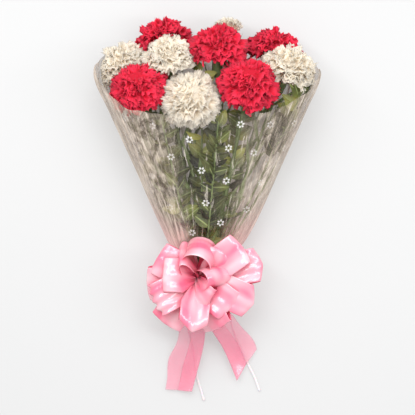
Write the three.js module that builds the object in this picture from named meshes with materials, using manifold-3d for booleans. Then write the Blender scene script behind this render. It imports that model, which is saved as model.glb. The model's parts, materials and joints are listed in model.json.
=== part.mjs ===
// A florist's bunch of ten carnations: red and white flowers on their stems, leafy filler, a band
// round the stems, a printed clear sleeve and a pull bow with two tails. The bunch lies on its back.
// Millimetres, +Z up. The flowers point along +Y and the ribbon tails along -Y. While it is being
// laid out, y = 0 is the plane of the tie, x = 0 the middle of the sleeve and z = 0 the table. The
// last lines move the whole bunch so that the origin is the middle of its box, on the table.
import * as THREE from "three";
import { mergeVertices } from "three/addons/utils/BufferGeometryUtils.js";
import Module from "manifold-3d";

const wasm = await Module();
wasm.setup();

// ---- Driving dimensions ----
const bunchWidth = 256; // across the mouth of the sleeve
const bunchLength = 266; // from the tie to the farthest corner of the sleeve
const gap = 0.4; // air kept between pieces that touch in life
const stemWidth = 4.4;
const sprigWidth = 2.6;
const cutEndY = -50; // where the stems are cut off
const calyxLength = 26;
const calyxWidth = 12.5;
const headSeat = 0.3; // from a flower's neck to the middle of its head, as a share of its width
const headHeight = 0.6; // from neck to crown, as a share of its width
const leafLength = 30;
const leafWidth = 9.5;
const leafThickness = 1;
const tieX = -4; // the bundle leans a little to the left where it is tied
const tieHeight = 20; // middle of the bundle above the table
const stemPlay = 1.1; // air between neighbouring stems in a row of the tied bundle
const rowPlay = 0.5; // air between the rows
const bandEase = 2.85; // between the outermost stems and the band
const bandWidth = 7;
const bandWall = 1.2;
const bandY = 0;
const filmWall = 1;
const sleeveEase = 5.8; // between the outermost stems and the outside of the sleeve, at the tie
const skirtEndY = -42; // lower edge of the sleeve
const ringWidth = 6; // the pull string where it goes round the sleeve
const ringY = -7;
const ringWall = 1.2;
const knotX = -11;
const knotWidth = 15;
const knotHeight = 12;
const ribbonWidth = 34;
const ribbonWall = 1.1;
const tailWidth = 32;
const tailRidge = 7; // how high the crease of a tail stands over its edges
const stringWidth = 2.6;

const petalColour = { red: 0xc81432, white: 0xefe2cc };
const weld = 0.02; // corners closer than this are one corner
const slotPitch = stemWidth + stemPlay;
const slotRise = stemWidth + rowPlay;
const bundleHalfWidth = 2.2 * slotPitch + stemWidth / 2;
const bundleHalfHeight = 1.5 * slotRise + stemWidth / 2;
const wide = bunchWidth / 256; // the places listed below are drawn for a bunch of 256 by 266
const long = bunchLength / 266;
const vec = (x, y, z) => new THREE.Vector3(x, y, z);
const placed = ([x, y, z]) => vec(x * wide, y * long, z);

// ---- What stands in the bunch ----
// middle: the middle of the head. faces: the way the crown looks. width: across the petals.
// slot: column and row in the tied bundle, with row 0 nearest the table.
const flowers = [
  { name: "red_front_left", petals: "red", middle: [-79, 212, 90], faces: [-0.22, 0.52, 0.82], width: 64, slot: [-1.7, 3] },
  { name: "white_front_middle", petals: "white", middle: [-18, 200, 96], faces: [0.04, 0.36, 0.93], width: 66, slot: [-0.6, 3] },
  { name: "red_front_right", petals: "red", middle: [46, 215, 94], faces: [0.16, 0.5, 0.85], width: 68, slot: [0.8, 3] },
  { name: "red_middle", petals: "red", middle: [11, 262, 70], faces: [0, 0.78, 0.62], width: 62, slot: [0, 1] },
  { name: "white_left_inner", petals: "white", middle: [-45, 253, 72], faces: [-0.12, 0.86, 0.48], width: 58, slot: [-1, 1] },
  { name: "white_left_outer", petals: "white", middle: [-100, 246, 50], faces: [-0.5, 0.8, 0.32], width: 60, slot: [-2, 1] },
  { name: "white_right", petals: "white", middle: [96, 240, 62], faces: [0.5, 0.8, 0.33], width: 64, slot: [1.1, 1] },
  { name: "red_back_left", petals: "red", middle: [-52, 279, 33], faces: [-0.18, 0.98, -0.04], width: 60, slot: [-1, 0] },
  { name: "red_back_right", petals: "red", middle: [75, 268, 33], faces: [0.25, 0.96, 0], width: 60, slot: [1, 0] },
  { name: "white_back_bud", petals: "white", middle: [30, 284, 38], faces: [0.1, 0.99, 0.02], width: 36, slot: [0, 0] },
];

// Leafy filler. tip: where the sprig ends. leaves: how many it carries.
const sprigs = [
  { name: "right", tip: [107, 206, 72], slot: [2.2, 2], leaves: 8 },
  { name: "right_front", tip: [84, 186, 90], slot: [1.9, 3], leaves: 7 },
  { name: "front_middle", tip: [12, 172, 88], slot: [0.1, 2.55], leaves: 8 },
  { name: "left_front", tip: [-52, 180, 76], slot: [-1.55, 2], leaves: 8 },
  { name: "middle", tip: [-6, 232, 62], slot: [-0.5, 2], leaves: 8 },
  { name: "back_right", tip: [50, 238, 52], slot: [1.6, 2], leaves: 7 },
  { name: "back_left", tip: [-92, 206, 26], slot: [-2.1, 0], leaves: 7 },
];

// Loops of the bow. towards: degrees anticlockwise from +X. lift: degrees above the table.
// roll: how far the loop is turned about its own line. reach: from the knot to its far end.
// open: how wide it stands open.
const loops = [
  { towards: 76, lift: 40, roll: 62, reach: 46, open: 26 },
  { towards: 120, lift: 34, roll: 75, reach: 44, open: 13 },
  { towards: 150, lift: 24, roll: 0, reach: 54, open: 18 },
  { towards: 170, lift: 44, roll: 12, reach: 50, open: 20 },
  { towards: 187, lift: 12, roll: -10, reach: 54, open: 20 },
  { towards: 214, lift: 26, roll: 0, reach: 58, open: 18 },
  { towards: 234, lift: 10, roll: 0, reach: 62, open: 14 },
  { towards: 267, lift: 24, roll: 0, reach: 62, open: 18 },
  { towards: 258, lift: 56, roll: 0, reach: 44, open: 18 },
  { towards: 318, lift: 52, roll: 20, reach: 40, open: 18 },
  { towards: 352, lift: 38, roll: 58, reach: 54, open: 20 },
  { towards: 32, lift: 22, roll: 0, reach: 68, open: 18 },
  { towards: 50, lift: 46, roll: 20, reach: 52, open: 20 },
  { towards: 14, lift: 12, roll: -10, reach: 74, open: 15 },
  { towards: 333, lift: 16, roll: 0, reach: 70, open: 18 },
  { towards: 296, lift: 9, roll: 24, reach: 62, open: 13 },
];

// Ribbon tails: the line of each crease, from under the knot to the cut end. The third number is a
// height as a share of the ring's top. slant: how much shorter the right edge is than the left one.
const tails = [
  { name: "left", slant: 0.05, crease: [[-17, -14, 1.015], [-17, -38, 0.975], [-17, -62, 0.73], [-20, -84, 0.36],
    [-26, -108, 0.235], [-32, -131, 0.22]] },
  { name: "right", slant: 0.2, crease: [[-4, -14, 1.015], [6, -38, 0.975], [19, -58, 0.73], [31, -78, 0.36],
    [40, -98, 0.235], [48, -118, 0.22]] },
];

// The two ends of the pull string. Each route starts beside the ring that goes round the sleeve.
const strings = [
  { name: "left", route: [[-29.5, -7, 14], [-32, -17, 10], [-33, -28, 6], [-32, -40, 3], [-28, -52, 1.6],
    [-23, -64, 1.5], [-19, -77, 1.5], [-16.5, -90, 1.5], [-15, -102, 1.5], [-13.5, -112, 1.5],
    [-11.5, -122, 1.5], [-8.5, -132, 1.5], [-6, -140, 1.5], [-4, -147, 1.5]] },
  { name: "right", route: [[21.5, -7, 14], [24.5, -17, 10], [26, -28, 6], [26, -40, 3], [27, -52, 1.6],
    [30, -64, 1.5], [34, -76, 1.5], [39, -88, 1.5], [45, -100, 1.5], [50, -110, 1.5],
    [54.5, -119, 1.5], [58, -128, 1.5], [61, -136, 1.5]] },
];

// ---- Geometry helpers ----
function solidFrom(geometry) {
  const bare = geometry.index ? geometry.toNonIndexed() : geometry.clone();
  const shell = new THREE.BufferGeometry().setAttribute("position", bare.getAttribute("position"));
  const merged = mergeVertices(shell, 1e-3);
  return new wasm.Manifold(new wasm.Mesh({
    numProp: 3,
    vertProperties: merged.attributes.position.array,
    triVerts: new Uint32Array(merged.index.array),
  }));
}

function geometryFrom(solid) {
  const mesh = solid.getMesh();
  const geometry = new THREE.BufferGeometry();
  geometry.setAttribute("position", new THREE.BufferAttribute(new Float32Array(mesh.vertProperties), 3));
  geometry.setIndex(new THREE.BufferAttribute(new Uint32Array(mesh.triVerts), 1));
  geometry.computeVertexNormals();
  return geometry;
}

function biggestBody(solid) {
  return solid.decompose().sort((a, b) => b.volume() - a.volume())[0];
}

// Cuts the neighbours out of a solid, and lets the trimmed-off ends go.
function clearOf(solid, neighbours) {
  const left = neighbours.reduce((rest, other) => rest.subtract(other), solid);
  const tidied = biggestBody(left).simplify(weld);
  return biggestBody(solidFrom(geometryFrom(tidied)));
}

// Moves every point of a geometry to place(point).
function reshape(geometry, place) {
  const at = geometry.getAttribute("position");
  for (let i = 0; i < at.count; i += 1) {
    const moved = place(new THREE.Vector3().fromBufferAttribute(at, i));
    at.setXYZ(i, moved.x, moved.y, moved.z);
  }
  return geometry;
}

// Reads a list of [key, value] pairs as a smooth curve.
function smoothly(pairs, key) {
  const last = pairs.length - 1;
  if (key <= pairs[0][0]) return pairs[0][1];
  if (key >= pairs[last][0]) return pairs[last][1];
  const i = pairs.findIndex(([k]) => k > key) - 1;
  const [k0, v0] = pairs[i];
  const [k1, v1] = pairs[i + 1];
  const slope = (j) => {
    if (j <= 0 || j >= last) return 0;
    return (pairs[j + 1][1] - pairs[j - 1][1]) / (pairs[j + 1][0] - pairs[j - 1][0]);
  };
  const endSlope = (j) => (j === 0 || j === last ? (v1 - v0) / (k1 - k0) : slope(j));
  const span = k1 - k0;
  const t = (key - k0) / span;
  return v0 * (2 * t ** 3 - 3 * t ** 2 + 1) + v1 * (3 * t ** 2 - 2 * t ** 3)
    + span * (endSlope(i) * (t ** 3 - 2 * t ** 2 + t) + endSlope(i + 1) * (t ** 3 - t ** 2));
}

// A round rod of `sides` flats along a curve.
function rod(curve, width, sides, steps) {
  const outline = new THREE.Shape();
  for (let i = 0; i < sides; i += 1) {
    const turn = (i / sides) * Math.PI * 2;
    const [x, y] = [Math.cos(turn) * width / 2, Math.sin(turn) * width / 2];
    if (i === 0) outline.moveTo(x, y);
    else outline.lineTo(x, y);
  }
  outline.closePath();
  return new THREE.ExtrudeGeometry(outline, { steps, bevelEnabled: false, extrudePath: curve });
}

function facing(direction) {
  return new THREE.Quaternion().setFromUnitVectors(vec(0, 1, 0), direction);
}

// ---- Flowers and stems ----
const flowerPlaces = flowers.map((flower) => {
  const faces = vec(...flower.faces).normalize();
  const neck = placed(flower.middle).addScaledVector(faces, -headSeat * flower.width);
  const foot = neck.clone().addScaledVector(faces, -calyxLength);
  return { ...flower, faces, neck, foot };
});

function slotPoint([column, row], y) {
  return vec(tieX + column * slotPitch, y, tieHeight + (row - 1.5) * slotRise);
}

// A head: petals spread from the neck, roll over the guard petals and close in a crumpled crown.
function head(flower, extra = 0) {
  const around = 20;
  const frills = 10;
  const open = flower.width < 45 ? 0.8 : 1; // a half-open bud is slimmer
  const profile = [[0, 0], [0.11, 0], [0.4, 0.12], [0.5, 0.27], [0.44, 0.44], [0.24, headHeight - 0.04], [0, headHeight]];
  const size = flower.width + 2 * extra;
  const points = profile.map(([r, h]) => new THREE.Vector2(r * size * open, h * size));
  const geometry = new THREE.LatheGeometry(points, around);
  reshape(geometry, (p) => {
    const turn = Math.atan2(p.x, p.z);
    const out = Math.hypot(p.x, p.z);
    const frill = 1 + 0.05 * Math.cos(frills * turn) * Math.min(1, out / (0.3 * size));
    return vec(p.x * frill, p.y, p.z * frill);
  });
  const seat = flower.neck.clone().addScaledVector(flower.faces, gap - extra);
  return geometry.applyQuaternion(facing(flower.faces)).translate(seat.x, seat.y, seat.z);
}

function calyx(flower, extra = 0) {
  const r = calyxWidth / 2 + extra;
  const profile = [[0, 0], [0.45, 0], [0.85, 0.2], [1, 0.55], [0.88, 0.9], [0.96, 1], [0, 1]];
  const points = profile.map(([w, h]) => new THREE.Vector2(w * r, h * calyxLength));
  return new THREE.LatheGeometry(points, 8)
    .applyQuaternion(facing(flower.faces))
    .translate(flower.foot.x, flower.foot.y, flower.foot.z);
}

function stemCurve(flower) {
  const tied = slotPoint(flower.slot, 0);
  const inCalyx = flower.foot.clone().addScaledVector(flower.faces, calyxLength * 0.2);
  const nearHead = flower.foot.clone().addScaledVector(flower.faces, -9).add(vec(0, -9, 0));
  const half = tied.clone().lerp(nearHead, 0.5);
  return new THREE.CatmullRomCurve3([slotPoint(flower.slot, cutEndY), tied, half, nearHead, inCalyx]);
}

function stem(flower, extra = 0) {
  const shaft = solidFrom(rod(stemCurve(flower), stemWidth + 2 * extra, 6, 9));
  return shaft.add(solidFrom(calyx(flower, extra)));
}

// ---- Leafy filler ----
function sprigCurve(sprig) {
  const tied = slotPoint(sprig.slot, 0);
  const tip = placed(sprig.tip);
  const half = tied.clone().lerp(tip, 0.5).add(vec(0, 0, 3));
  return new THREE.CatmullRomCurve3([slotPoint(sprig.slot, cutEndY + 14), tied, half, tip]);
}

function leafShape() {
  const outline = new THREE.Shape();
  outline.moveTo(-leafWidth * 0.08, 0);
  outline.quadraticCurveTo(-leafWidth * 0.9, leafLength * 0.4, 0, leafLength);
  outline.quadraticCurveTo(leafWidth * 0.9, leafLength * 0.4, leafWidth * 0.08, 0);
  outline.closePath();
  return new THREE.ExtrudeGeometry(outline, { depth: leafThickness, bevelEnabled: false, curveSegments: 2 });
}

function leafySprig(sprig) {
  const curve = sprigCurve(sprig);
  let whole = solidFrom(rod(curve, sprigWidth, 5, 7));
  for (let i = 0; i < sprig.leaves; i += 1) {
    const share = 0.5 + (0.49 * i) / (sprig.leaves - 1);
    const base = curve.getPointAt(share);
    const along = curve.getTangentAt(share);
    const side = i % 2 ? 1 : -1;
    const last = i === sprig.leaves - 1;
    const across = vec(along.y, -along.x, 0).normalize().multiplyScalar(last ? 0 : side * 0.75);
    const way = along.clone().multiplyScalar(0.8).add(across).normalize();
    const flat = vec(0, 0, 1).addScaledVector(way, -way.z).normalize();
    const basis = new THREE.Matrix4().makeBasis(way.clone().cross(flat), way, flat);
    basis.setPosition(base.x, base.y, base.z - leafThickness / 2);
    whole = whole.add(solidFrom(leafShape().applyMatrix4(basis)));
  }
  return whole;
}

// ---- Sleeve ----
const cone = (pairs, stretch) => pairs.map(([y, size]) => [y * long, size * stretch]);
const waistHalfWidth = bundleHalfWidth + sleeveEase;
const waistHalfHeight = bundleHalfHeight + sleeveEase;
const sleeveHalfWidth = [[-42, waistHalfWidth + 5.5], [-14, waistHalfWidth], [6, waistHalfWidth],
  ...cone([[41, 46], [131, 87], [187, 112], [222, 127], [266, 124]], wide)];
const waistBottom = tieHeight - waistHalfHeight;
const waistTop = tieHeight + waistHalfHeight;
const sleeveBottom = [[-42, waistBottom - 2], [-14, waistBottom], [6, waistBottom],
  ...cone([[41, 0], [44, 0], [266, 0]], 1)];
const sleeveTop = [[-42, waistTop - 3], [-14, waistTop], [6, waistTop],
  ...cone([[41, waistTop + 19], [131, 95], [187, 120], [222, 130], [266, 124]], 1)];
const sleeveWaistRows = [skirtEndY, -14, 6, 41 * long]; // rows of corners from the skirt up to the cone
const sleeveRows = 9; // rows of corners in all, the last on the free edge
const sleeveFlat = [[6, 1], [41, 1.15], [266, 1.15]]; // above 1 the back is pressed flat on the table
const sleeveMiddle = [[-42, tieX], [6, tieX], [60, 0], [266, 0]];
// How far up the bunch the free edge is, by the angle round the sleeve: 0 right, 90 front, 180 left.
const sleeveEdge = [[0, 232], [28, 216], [55, 190], [90, 178], [122, 184], [143, 204], [160, 244], [180, 264],
  [215, 266], [270, 252], [330, 246], [360, 232]];

// The point of the sleeve's outside at an angle round it and a place along it, moved in by `inset`.
function sleevePoint(turn, y, inset) {
  const half = smoothly(sleeveHalfWidth, y) - inset;
  const low = smoothly(sleeveBottom, y) + inset;
  const high = smoothly(sleeveTop, y) - inset;
  const boxy = 2 / 2.5; // between an ellipse and a rounded box
  const [c, s] = [Math.cos(turn), Math.sin(turn)];
  const x = smoothly(sleeveMiddle, y) + half * Math.sign(c) * Math.abs(c) ** boxy;
  const rise = Math.sign(s) * Math.abs(s) ** boxy;
  const middle = (low + high) / 2;
  const z = rise > 0 ? middle + (high - middle) * rise : middle + (middle - low) * smoothly(sleeveFlat, y) * rise;
  return vec(x, y, Math.max(low, z));
}

function sleeve(extra = 0) {
  const wall = [];
  for (let i = 0; i <= sleeveRows; i += 1) wall.push(new THREE.Vector2(1, i));
  for (let i = sleeveRows; i >= 0; i -= 1) wall.push(new THREE.Vector2(2, i));
  wall.push(wall[0].clone());
  return reshape(new THREE.LatheGeometry(wall, 28), (p) => {
    const turn = Math.atan2(p.x, p.z);
    const degrees = (THREE.MathUtils.radToDeg(turn) + 360) % 360;
    const low = sleeveWaistRows.length - 1;
    const climb = (p.y - low) / (sleeveRows - low);
    const lowY = sleeveWaistRows[low];
    const rim = lowY + (smoothly(sleeveEdge, degrees) * long - lowY) * climb;
    const y = p.y < low ? sleeveWaistRows[Math.round(p.y)] : rim;
    const outer = Math.hypot(p.x, p.z) > 1.5;
    return sleevePoint(turn, y, outer ? -extra : filmWall + extra);
  });
}

// A flat band round the bundle: place(turn, y, out) gives its points, `out` being 0 on its inside.
function band(place, wall, width, y) {
  const section = [[0, 0], [0, width], [wall, width], [wall, 0], [0, 0]];
  const points = section.map(([out, up]) => new THREE.Vector2(1 + out, up));
  return reshape(new THREE.LatheGeometry(points, 28), (p) => {
    const out = Math.hypot(p.x, p.z) - 1;
    return place(Math.atan2(p.x, p.z), y + p.y, out);
  });
}

// ---- Bow ----
const ringTop = waistTop + gap + ringWall;
const knot = vec(knotX, -2, ringTop + gap + knotHeight / 2);

// A ribbon loop: a flat bar bent into a tear drop, narrow where it is gathered at the knot.
function bowLoop({ towards, lift, roll, reach, open }) {
  const [a, e, r] = [towards, lift, roll].map(THREE.MathUtils.degToRad);
  const out = vec(Math.cos(a) * Math.cos(e), Math.sin(a) * Math.cos(e), Math.sin(e));
  const side = vec(-Math.sin(a), Math.cos(a), 0).applyAxisAngle(out, r);
  const up = out.clone().cross(side);
  return reshape(new THREE.BoxGeometry(1, 1, 1, 8, 1, 1), (p) => {
    const t = p.x + 0.5;
    const swing = (t - 0.5) * Math.PI * 1.9;
    const along = reach * (0.5 + 0.5 * Math.cos(swing));
    const spread = (open / 2) * Math.sin(swing) * Math.cos(swing / 2) ** 0.6 * 1.25;
    const normal = vec(Math.cos(swing) * open / reach, Math.sin(swing), 0).normalize();
    const lifted = spread + normal.y * p.y * ribbonWall;
    const pushed = along + normal.x * p.y * ribbonWall;
    const gathered = 0.2 + 0.8 * Math.min(1, (along / reach) * 1.6);
    return knot.clone().addScaledVector(out, pushed).addScaledVector(up, lifted)
      .addScaledVector(side, p.z * ribbonWidth * gathered);
  });
}

function bow() {
  const core = new THREE.SphereGeometry(0.5, 8, 6).scale(knotWidth, knotWidth, knotHeight);
  core.translate(knot.x, knot.y, knot.z);
  return loops.reduce((whole, loop) => whole.add(solidFrom(bowLoop(loop))), solidFrom(core));
}

// A tail: a strip gathered at the knot and creased along its middle, lying on its edges. Its right
// edge stands higher, over the pull string.
function tail({ crease, slant }, extra = 0) {
  const line = new THREE.CatmullRomCurve3(crease.map(([x, y, share]) => vec(x, y, share * ringTop)));
  return reshape(new THREE.BoxGeometry(1, 1, 1, 2, 12, 1), (p) => {
    const share = (0.5 - p.y) * (1 - slant * (0.5 + p.x));
    const middle = line.getPointAt(share);
    const along = line.getTangentAt(share);
    const across = vec(-along.y, along.x, 0).normalize();
    const spread = 0.35 + 0.65 * Math.min(1, share * 2.6);
    const settled = THREE.MathUtils.smoothstep(share, 0.35, 0.8);
    const drop = tailRidge * settled * Math.abs(p.x) * (p.x < 0 ? 2 : 0.9);
    const lowest = vec(0, 0, -drop + (p.z - 0.5) * ribbonWall + 2 * extra * p.z);
    return middle.addScaledVector(across, p.x * (tailWidth + 2 * extra) * spread).add(lowest);
  });
}

// ---- Put the bunch together ----
const bunch = new THREE.Group();
const bendingPieces = []; // the free string ends, left out when the bunch is centred

function piece(name, solid, colour, roughness) {
  const material = new THREE.MeshStandardMaterial({ color: colour, roughness, metalness: 0 });
  const mesh = new THREE.Mesh(geometryFrom(solid), material);
  mesh.name = name;
  bunch.add(mesh);
  return mesh;
}

const keepOut = { heads: [], stems: [], tails: [] };
for (const flower of flowerPlaces) {
  const pressed = clearOf(solidFrom(head(flower)), [...keepOut.heads, ...keepOut.stems]);
  piece(`bloom_${flower.name}`, pressed, petalColour[flower.petals], 0.7);
  piece(`stem_${flower.name}`, stem(flower), 0x6d8a52, 0.6);
  keepOut.heads.push(solidFrom(head(flower, gap)));
  keepOut.stems.push(stem(flower, gap));
}
const bundlePlace = (turn, y, out) => {
  const [c, d] = [Math.cos(turn), Math.sin(turn)].map((v) => Math.sign(v) * Math.abs(v) ** 0.8);
  const [across, up] = [bundleHalfWidth, bundleHalfHeight].map((half) => half + bandEase + out);
  return vec(tieX + across * c, y, tieHeight + up * d);
};
const bandFromY = bandY - bandWidth / 2;
const bandKeepOut = solidFrom(band((turn, y, out) => bundlePlace(turn, y, out - gap), bandWall + gap, bandWidth, bandFromY));
const sleeveSolid = solidFrom(sleeve());
const sleeveKeepOut = solidFrom(sleeve(gap));
const placedSprigs = [];
for (const sprig of sprigs) {
  const trimmed = clearOf(leafySprig(sprig), [...keepOut.heads, ...keepOut.stems, sleeveKeepOut, bandKeepOut,
    ...placedSprigs]);
  placedSprigs.push(solidFrom(rod(sprigCurve(sprig), sprigWidth + 2 * gap, 5, 7)), trimmed);
  piece(`foliage_${sprig.name}`, trimmed, 0x5a6b34, 0.55);
}
const ringPlace = (turn, y, out) => sleevePoint(turn, sleeveWaistRows[1], -gap - out).setY(y);
piece("stem_band", solidFrom(band(bundlePlace, bandWall, bandWidth, bandFromY)), 0xd8cbb0, 0.8);
piece("film_sleeve", clearOf(sleeveSolid, keepOut.heads), 0xd9d2cc, 0.15);
piece("pull_string_ring", solidFrom(band(ringPlace, ringWall, ringWidth, ringY - ringWidth / 2)), 0xf3ecec, 0.4);
for (const each of tails) {
  piece(`ribbon_tail_${each.name}`, solidFrom(tail(each)), 0xf4a3ba, 0.3);
  keepOut.tails.push(solidFrom(tail(each, gap)));
}
piece("bow", clearOf(bow(), [sleeveKeepOut, ...keepOut.stems, ...keepOut.tails]), 0xf7a0b8, 0.3);
for (const each of strings) {
  const line = new THREE.CatmullRomCurve3(each.route.map((p) => vec(...p)));
  bendingPieces.push(piece(`pull_string_${each.name}`, solidFrom(rod(line, stringWidth, 8, 26)), 0xf3ecec, 0.4));
}

const box = new THREE.Box3();
bunch.children.filter((mesh) => !bendingPieces.includes(mesh)).forEach((mesh) => box.expandByObject(mesh));
const centre = box.getCenter(vec(0, 0, 0));
bunch.position.set(-centre.x, -centre.y, -box.min.z);

export default bunch;
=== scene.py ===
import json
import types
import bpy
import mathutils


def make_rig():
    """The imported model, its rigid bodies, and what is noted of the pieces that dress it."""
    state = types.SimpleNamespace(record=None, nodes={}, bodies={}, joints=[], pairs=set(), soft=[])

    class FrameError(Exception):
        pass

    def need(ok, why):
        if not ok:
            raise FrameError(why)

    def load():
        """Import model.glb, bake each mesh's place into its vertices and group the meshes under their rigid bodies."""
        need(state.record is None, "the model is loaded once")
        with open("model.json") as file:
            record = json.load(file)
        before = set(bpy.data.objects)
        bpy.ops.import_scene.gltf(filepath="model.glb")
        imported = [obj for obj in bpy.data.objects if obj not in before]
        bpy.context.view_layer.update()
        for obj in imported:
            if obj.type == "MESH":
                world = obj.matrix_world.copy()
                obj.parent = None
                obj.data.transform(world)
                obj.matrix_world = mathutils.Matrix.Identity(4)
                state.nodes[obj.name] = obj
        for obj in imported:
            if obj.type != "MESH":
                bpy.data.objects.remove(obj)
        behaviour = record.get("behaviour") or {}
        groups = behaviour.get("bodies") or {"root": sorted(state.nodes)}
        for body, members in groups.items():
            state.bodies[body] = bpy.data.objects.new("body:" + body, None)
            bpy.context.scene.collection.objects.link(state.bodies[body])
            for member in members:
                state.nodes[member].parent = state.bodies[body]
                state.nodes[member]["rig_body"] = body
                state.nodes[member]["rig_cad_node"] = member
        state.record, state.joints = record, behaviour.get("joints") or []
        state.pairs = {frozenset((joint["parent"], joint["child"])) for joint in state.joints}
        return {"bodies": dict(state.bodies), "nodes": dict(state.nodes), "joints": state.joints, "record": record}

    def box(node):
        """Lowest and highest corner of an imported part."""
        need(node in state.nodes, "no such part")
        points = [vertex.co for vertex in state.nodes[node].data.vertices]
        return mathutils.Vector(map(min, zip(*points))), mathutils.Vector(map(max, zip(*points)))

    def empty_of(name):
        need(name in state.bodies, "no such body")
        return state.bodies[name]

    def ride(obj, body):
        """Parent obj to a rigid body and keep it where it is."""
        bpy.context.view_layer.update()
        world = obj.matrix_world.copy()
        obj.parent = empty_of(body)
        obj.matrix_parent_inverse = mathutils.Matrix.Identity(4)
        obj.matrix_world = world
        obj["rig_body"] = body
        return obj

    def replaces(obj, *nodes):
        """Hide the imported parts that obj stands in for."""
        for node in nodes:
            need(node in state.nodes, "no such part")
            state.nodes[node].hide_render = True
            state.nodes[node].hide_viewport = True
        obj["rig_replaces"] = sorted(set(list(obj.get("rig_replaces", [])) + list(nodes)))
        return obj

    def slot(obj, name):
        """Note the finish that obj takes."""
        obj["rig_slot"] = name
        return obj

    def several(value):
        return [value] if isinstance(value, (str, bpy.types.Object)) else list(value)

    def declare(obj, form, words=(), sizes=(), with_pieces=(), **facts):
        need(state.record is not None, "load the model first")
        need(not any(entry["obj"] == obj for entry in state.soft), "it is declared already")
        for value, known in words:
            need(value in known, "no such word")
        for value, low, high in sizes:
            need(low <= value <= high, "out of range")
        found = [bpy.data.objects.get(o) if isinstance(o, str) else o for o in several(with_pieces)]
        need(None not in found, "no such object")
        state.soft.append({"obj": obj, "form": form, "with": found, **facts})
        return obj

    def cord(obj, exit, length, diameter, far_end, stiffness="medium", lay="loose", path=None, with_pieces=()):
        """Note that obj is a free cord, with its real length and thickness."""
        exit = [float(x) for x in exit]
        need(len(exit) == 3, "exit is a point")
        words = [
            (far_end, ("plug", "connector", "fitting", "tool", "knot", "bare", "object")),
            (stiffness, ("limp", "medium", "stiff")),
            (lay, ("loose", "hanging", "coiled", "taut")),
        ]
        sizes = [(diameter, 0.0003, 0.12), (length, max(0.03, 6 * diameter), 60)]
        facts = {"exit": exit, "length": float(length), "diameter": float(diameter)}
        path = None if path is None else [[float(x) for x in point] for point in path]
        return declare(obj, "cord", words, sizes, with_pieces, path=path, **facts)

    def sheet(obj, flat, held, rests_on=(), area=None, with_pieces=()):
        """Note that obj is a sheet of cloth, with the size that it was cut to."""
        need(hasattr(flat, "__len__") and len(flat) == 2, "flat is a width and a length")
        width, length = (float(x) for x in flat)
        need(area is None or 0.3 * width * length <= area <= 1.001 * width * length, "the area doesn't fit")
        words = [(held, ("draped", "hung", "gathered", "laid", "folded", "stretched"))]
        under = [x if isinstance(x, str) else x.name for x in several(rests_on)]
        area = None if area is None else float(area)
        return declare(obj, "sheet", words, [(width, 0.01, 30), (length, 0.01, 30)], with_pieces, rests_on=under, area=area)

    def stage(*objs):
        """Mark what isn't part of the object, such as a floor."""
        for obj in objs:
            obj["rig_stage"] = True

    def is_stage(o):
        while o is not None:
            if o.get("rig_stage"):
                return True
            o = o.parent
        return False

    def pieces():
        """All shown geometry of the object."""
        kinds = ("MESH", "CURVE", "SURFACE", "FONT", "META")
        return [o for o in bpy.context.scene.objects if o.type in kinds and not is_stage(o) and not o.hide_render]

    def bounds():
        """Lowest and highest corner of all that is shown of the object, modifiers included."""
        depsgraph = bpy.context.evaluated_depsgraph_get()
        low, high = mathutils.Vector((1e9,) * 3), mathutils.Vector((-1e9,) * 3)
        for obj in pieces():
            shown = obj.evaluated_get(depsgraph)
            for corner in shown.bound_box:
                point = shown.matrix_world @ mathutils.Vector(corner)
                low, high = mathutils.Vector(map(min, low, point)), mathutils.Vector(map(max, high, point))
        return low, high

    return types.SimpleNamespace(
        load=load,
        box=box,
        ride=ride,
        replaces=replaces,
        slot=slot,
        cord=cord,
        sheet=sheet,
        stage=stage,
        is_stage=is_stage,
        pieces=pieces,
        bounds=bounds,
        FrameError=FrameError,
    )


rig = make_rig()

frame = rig.load()

import json
import math
import random
import bpy
from mathutils import Matrix, Vector

cadBox = [list(corner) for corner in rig.bounds()]

# Everything is laid out in millimetres: x across, y from the tie towards the flowers, z up from the table.
layout = {"tieX": -4, "tieHeight": 20}
bandLow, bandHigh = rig.box("stem_band")
tie = (bandLow + bandHigh) / 2 - Vector((layout["tieX"], 0, layout["tieHeight"])) / 1000


def toFrame(point):  # millimetres as above to metres in the frame
    return tie + Vector(point) / 1000


def fromHex(code):  # sRGB hex to linear colour
    values = [int(code[i:i + 2], 16) / 255 for i in (1, 3, 5)]
    return [v / 12.92 if v <= 0.04045 else ((v + 0.055) / 1.055) ** 2.4 for v in values] + [1.0]


def addNode(tree, kind, settings=None, links=None):
    # links: socket name or number -> a value, a socket, or a node whose first output is meant
    node = tree.nodes.new(kind)
    for name, value in (settings or {}).items():
        setattr(node, name, value)
    for key, value in (links or {}).items():
        if isinstance(value, bpy.types.Node):
            tree.links.new(value.outputs[0], node.inputs[key])
        elif isinstance(value, bpy.types.NodeSocket):
            tree.links.new(value, node.inputs[key])
        else:
            node.inputs[key].default_value = value
    return node


def newMaterial(name, **sockets):
    material = bpy.data.materials.new(name)
    material.use_nodes = True
    tree = material.node_tree
    tree.nodes.clear()
    shader = addNode(tree, "ShaderNodeBsdfPrincipled", links=sockets)
    addNode(tree, "ShaderNodeOutputMaterial", links={"Surface": shader})
    return material, tree, shader


def lerp(a, b, t):
    return a + (b - a) * t


def smoothstep(low, high, value):
    t = min(1, max(0, (value - low) / (high - low)))
    return t * t * (3 - 2 * t)


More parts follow.
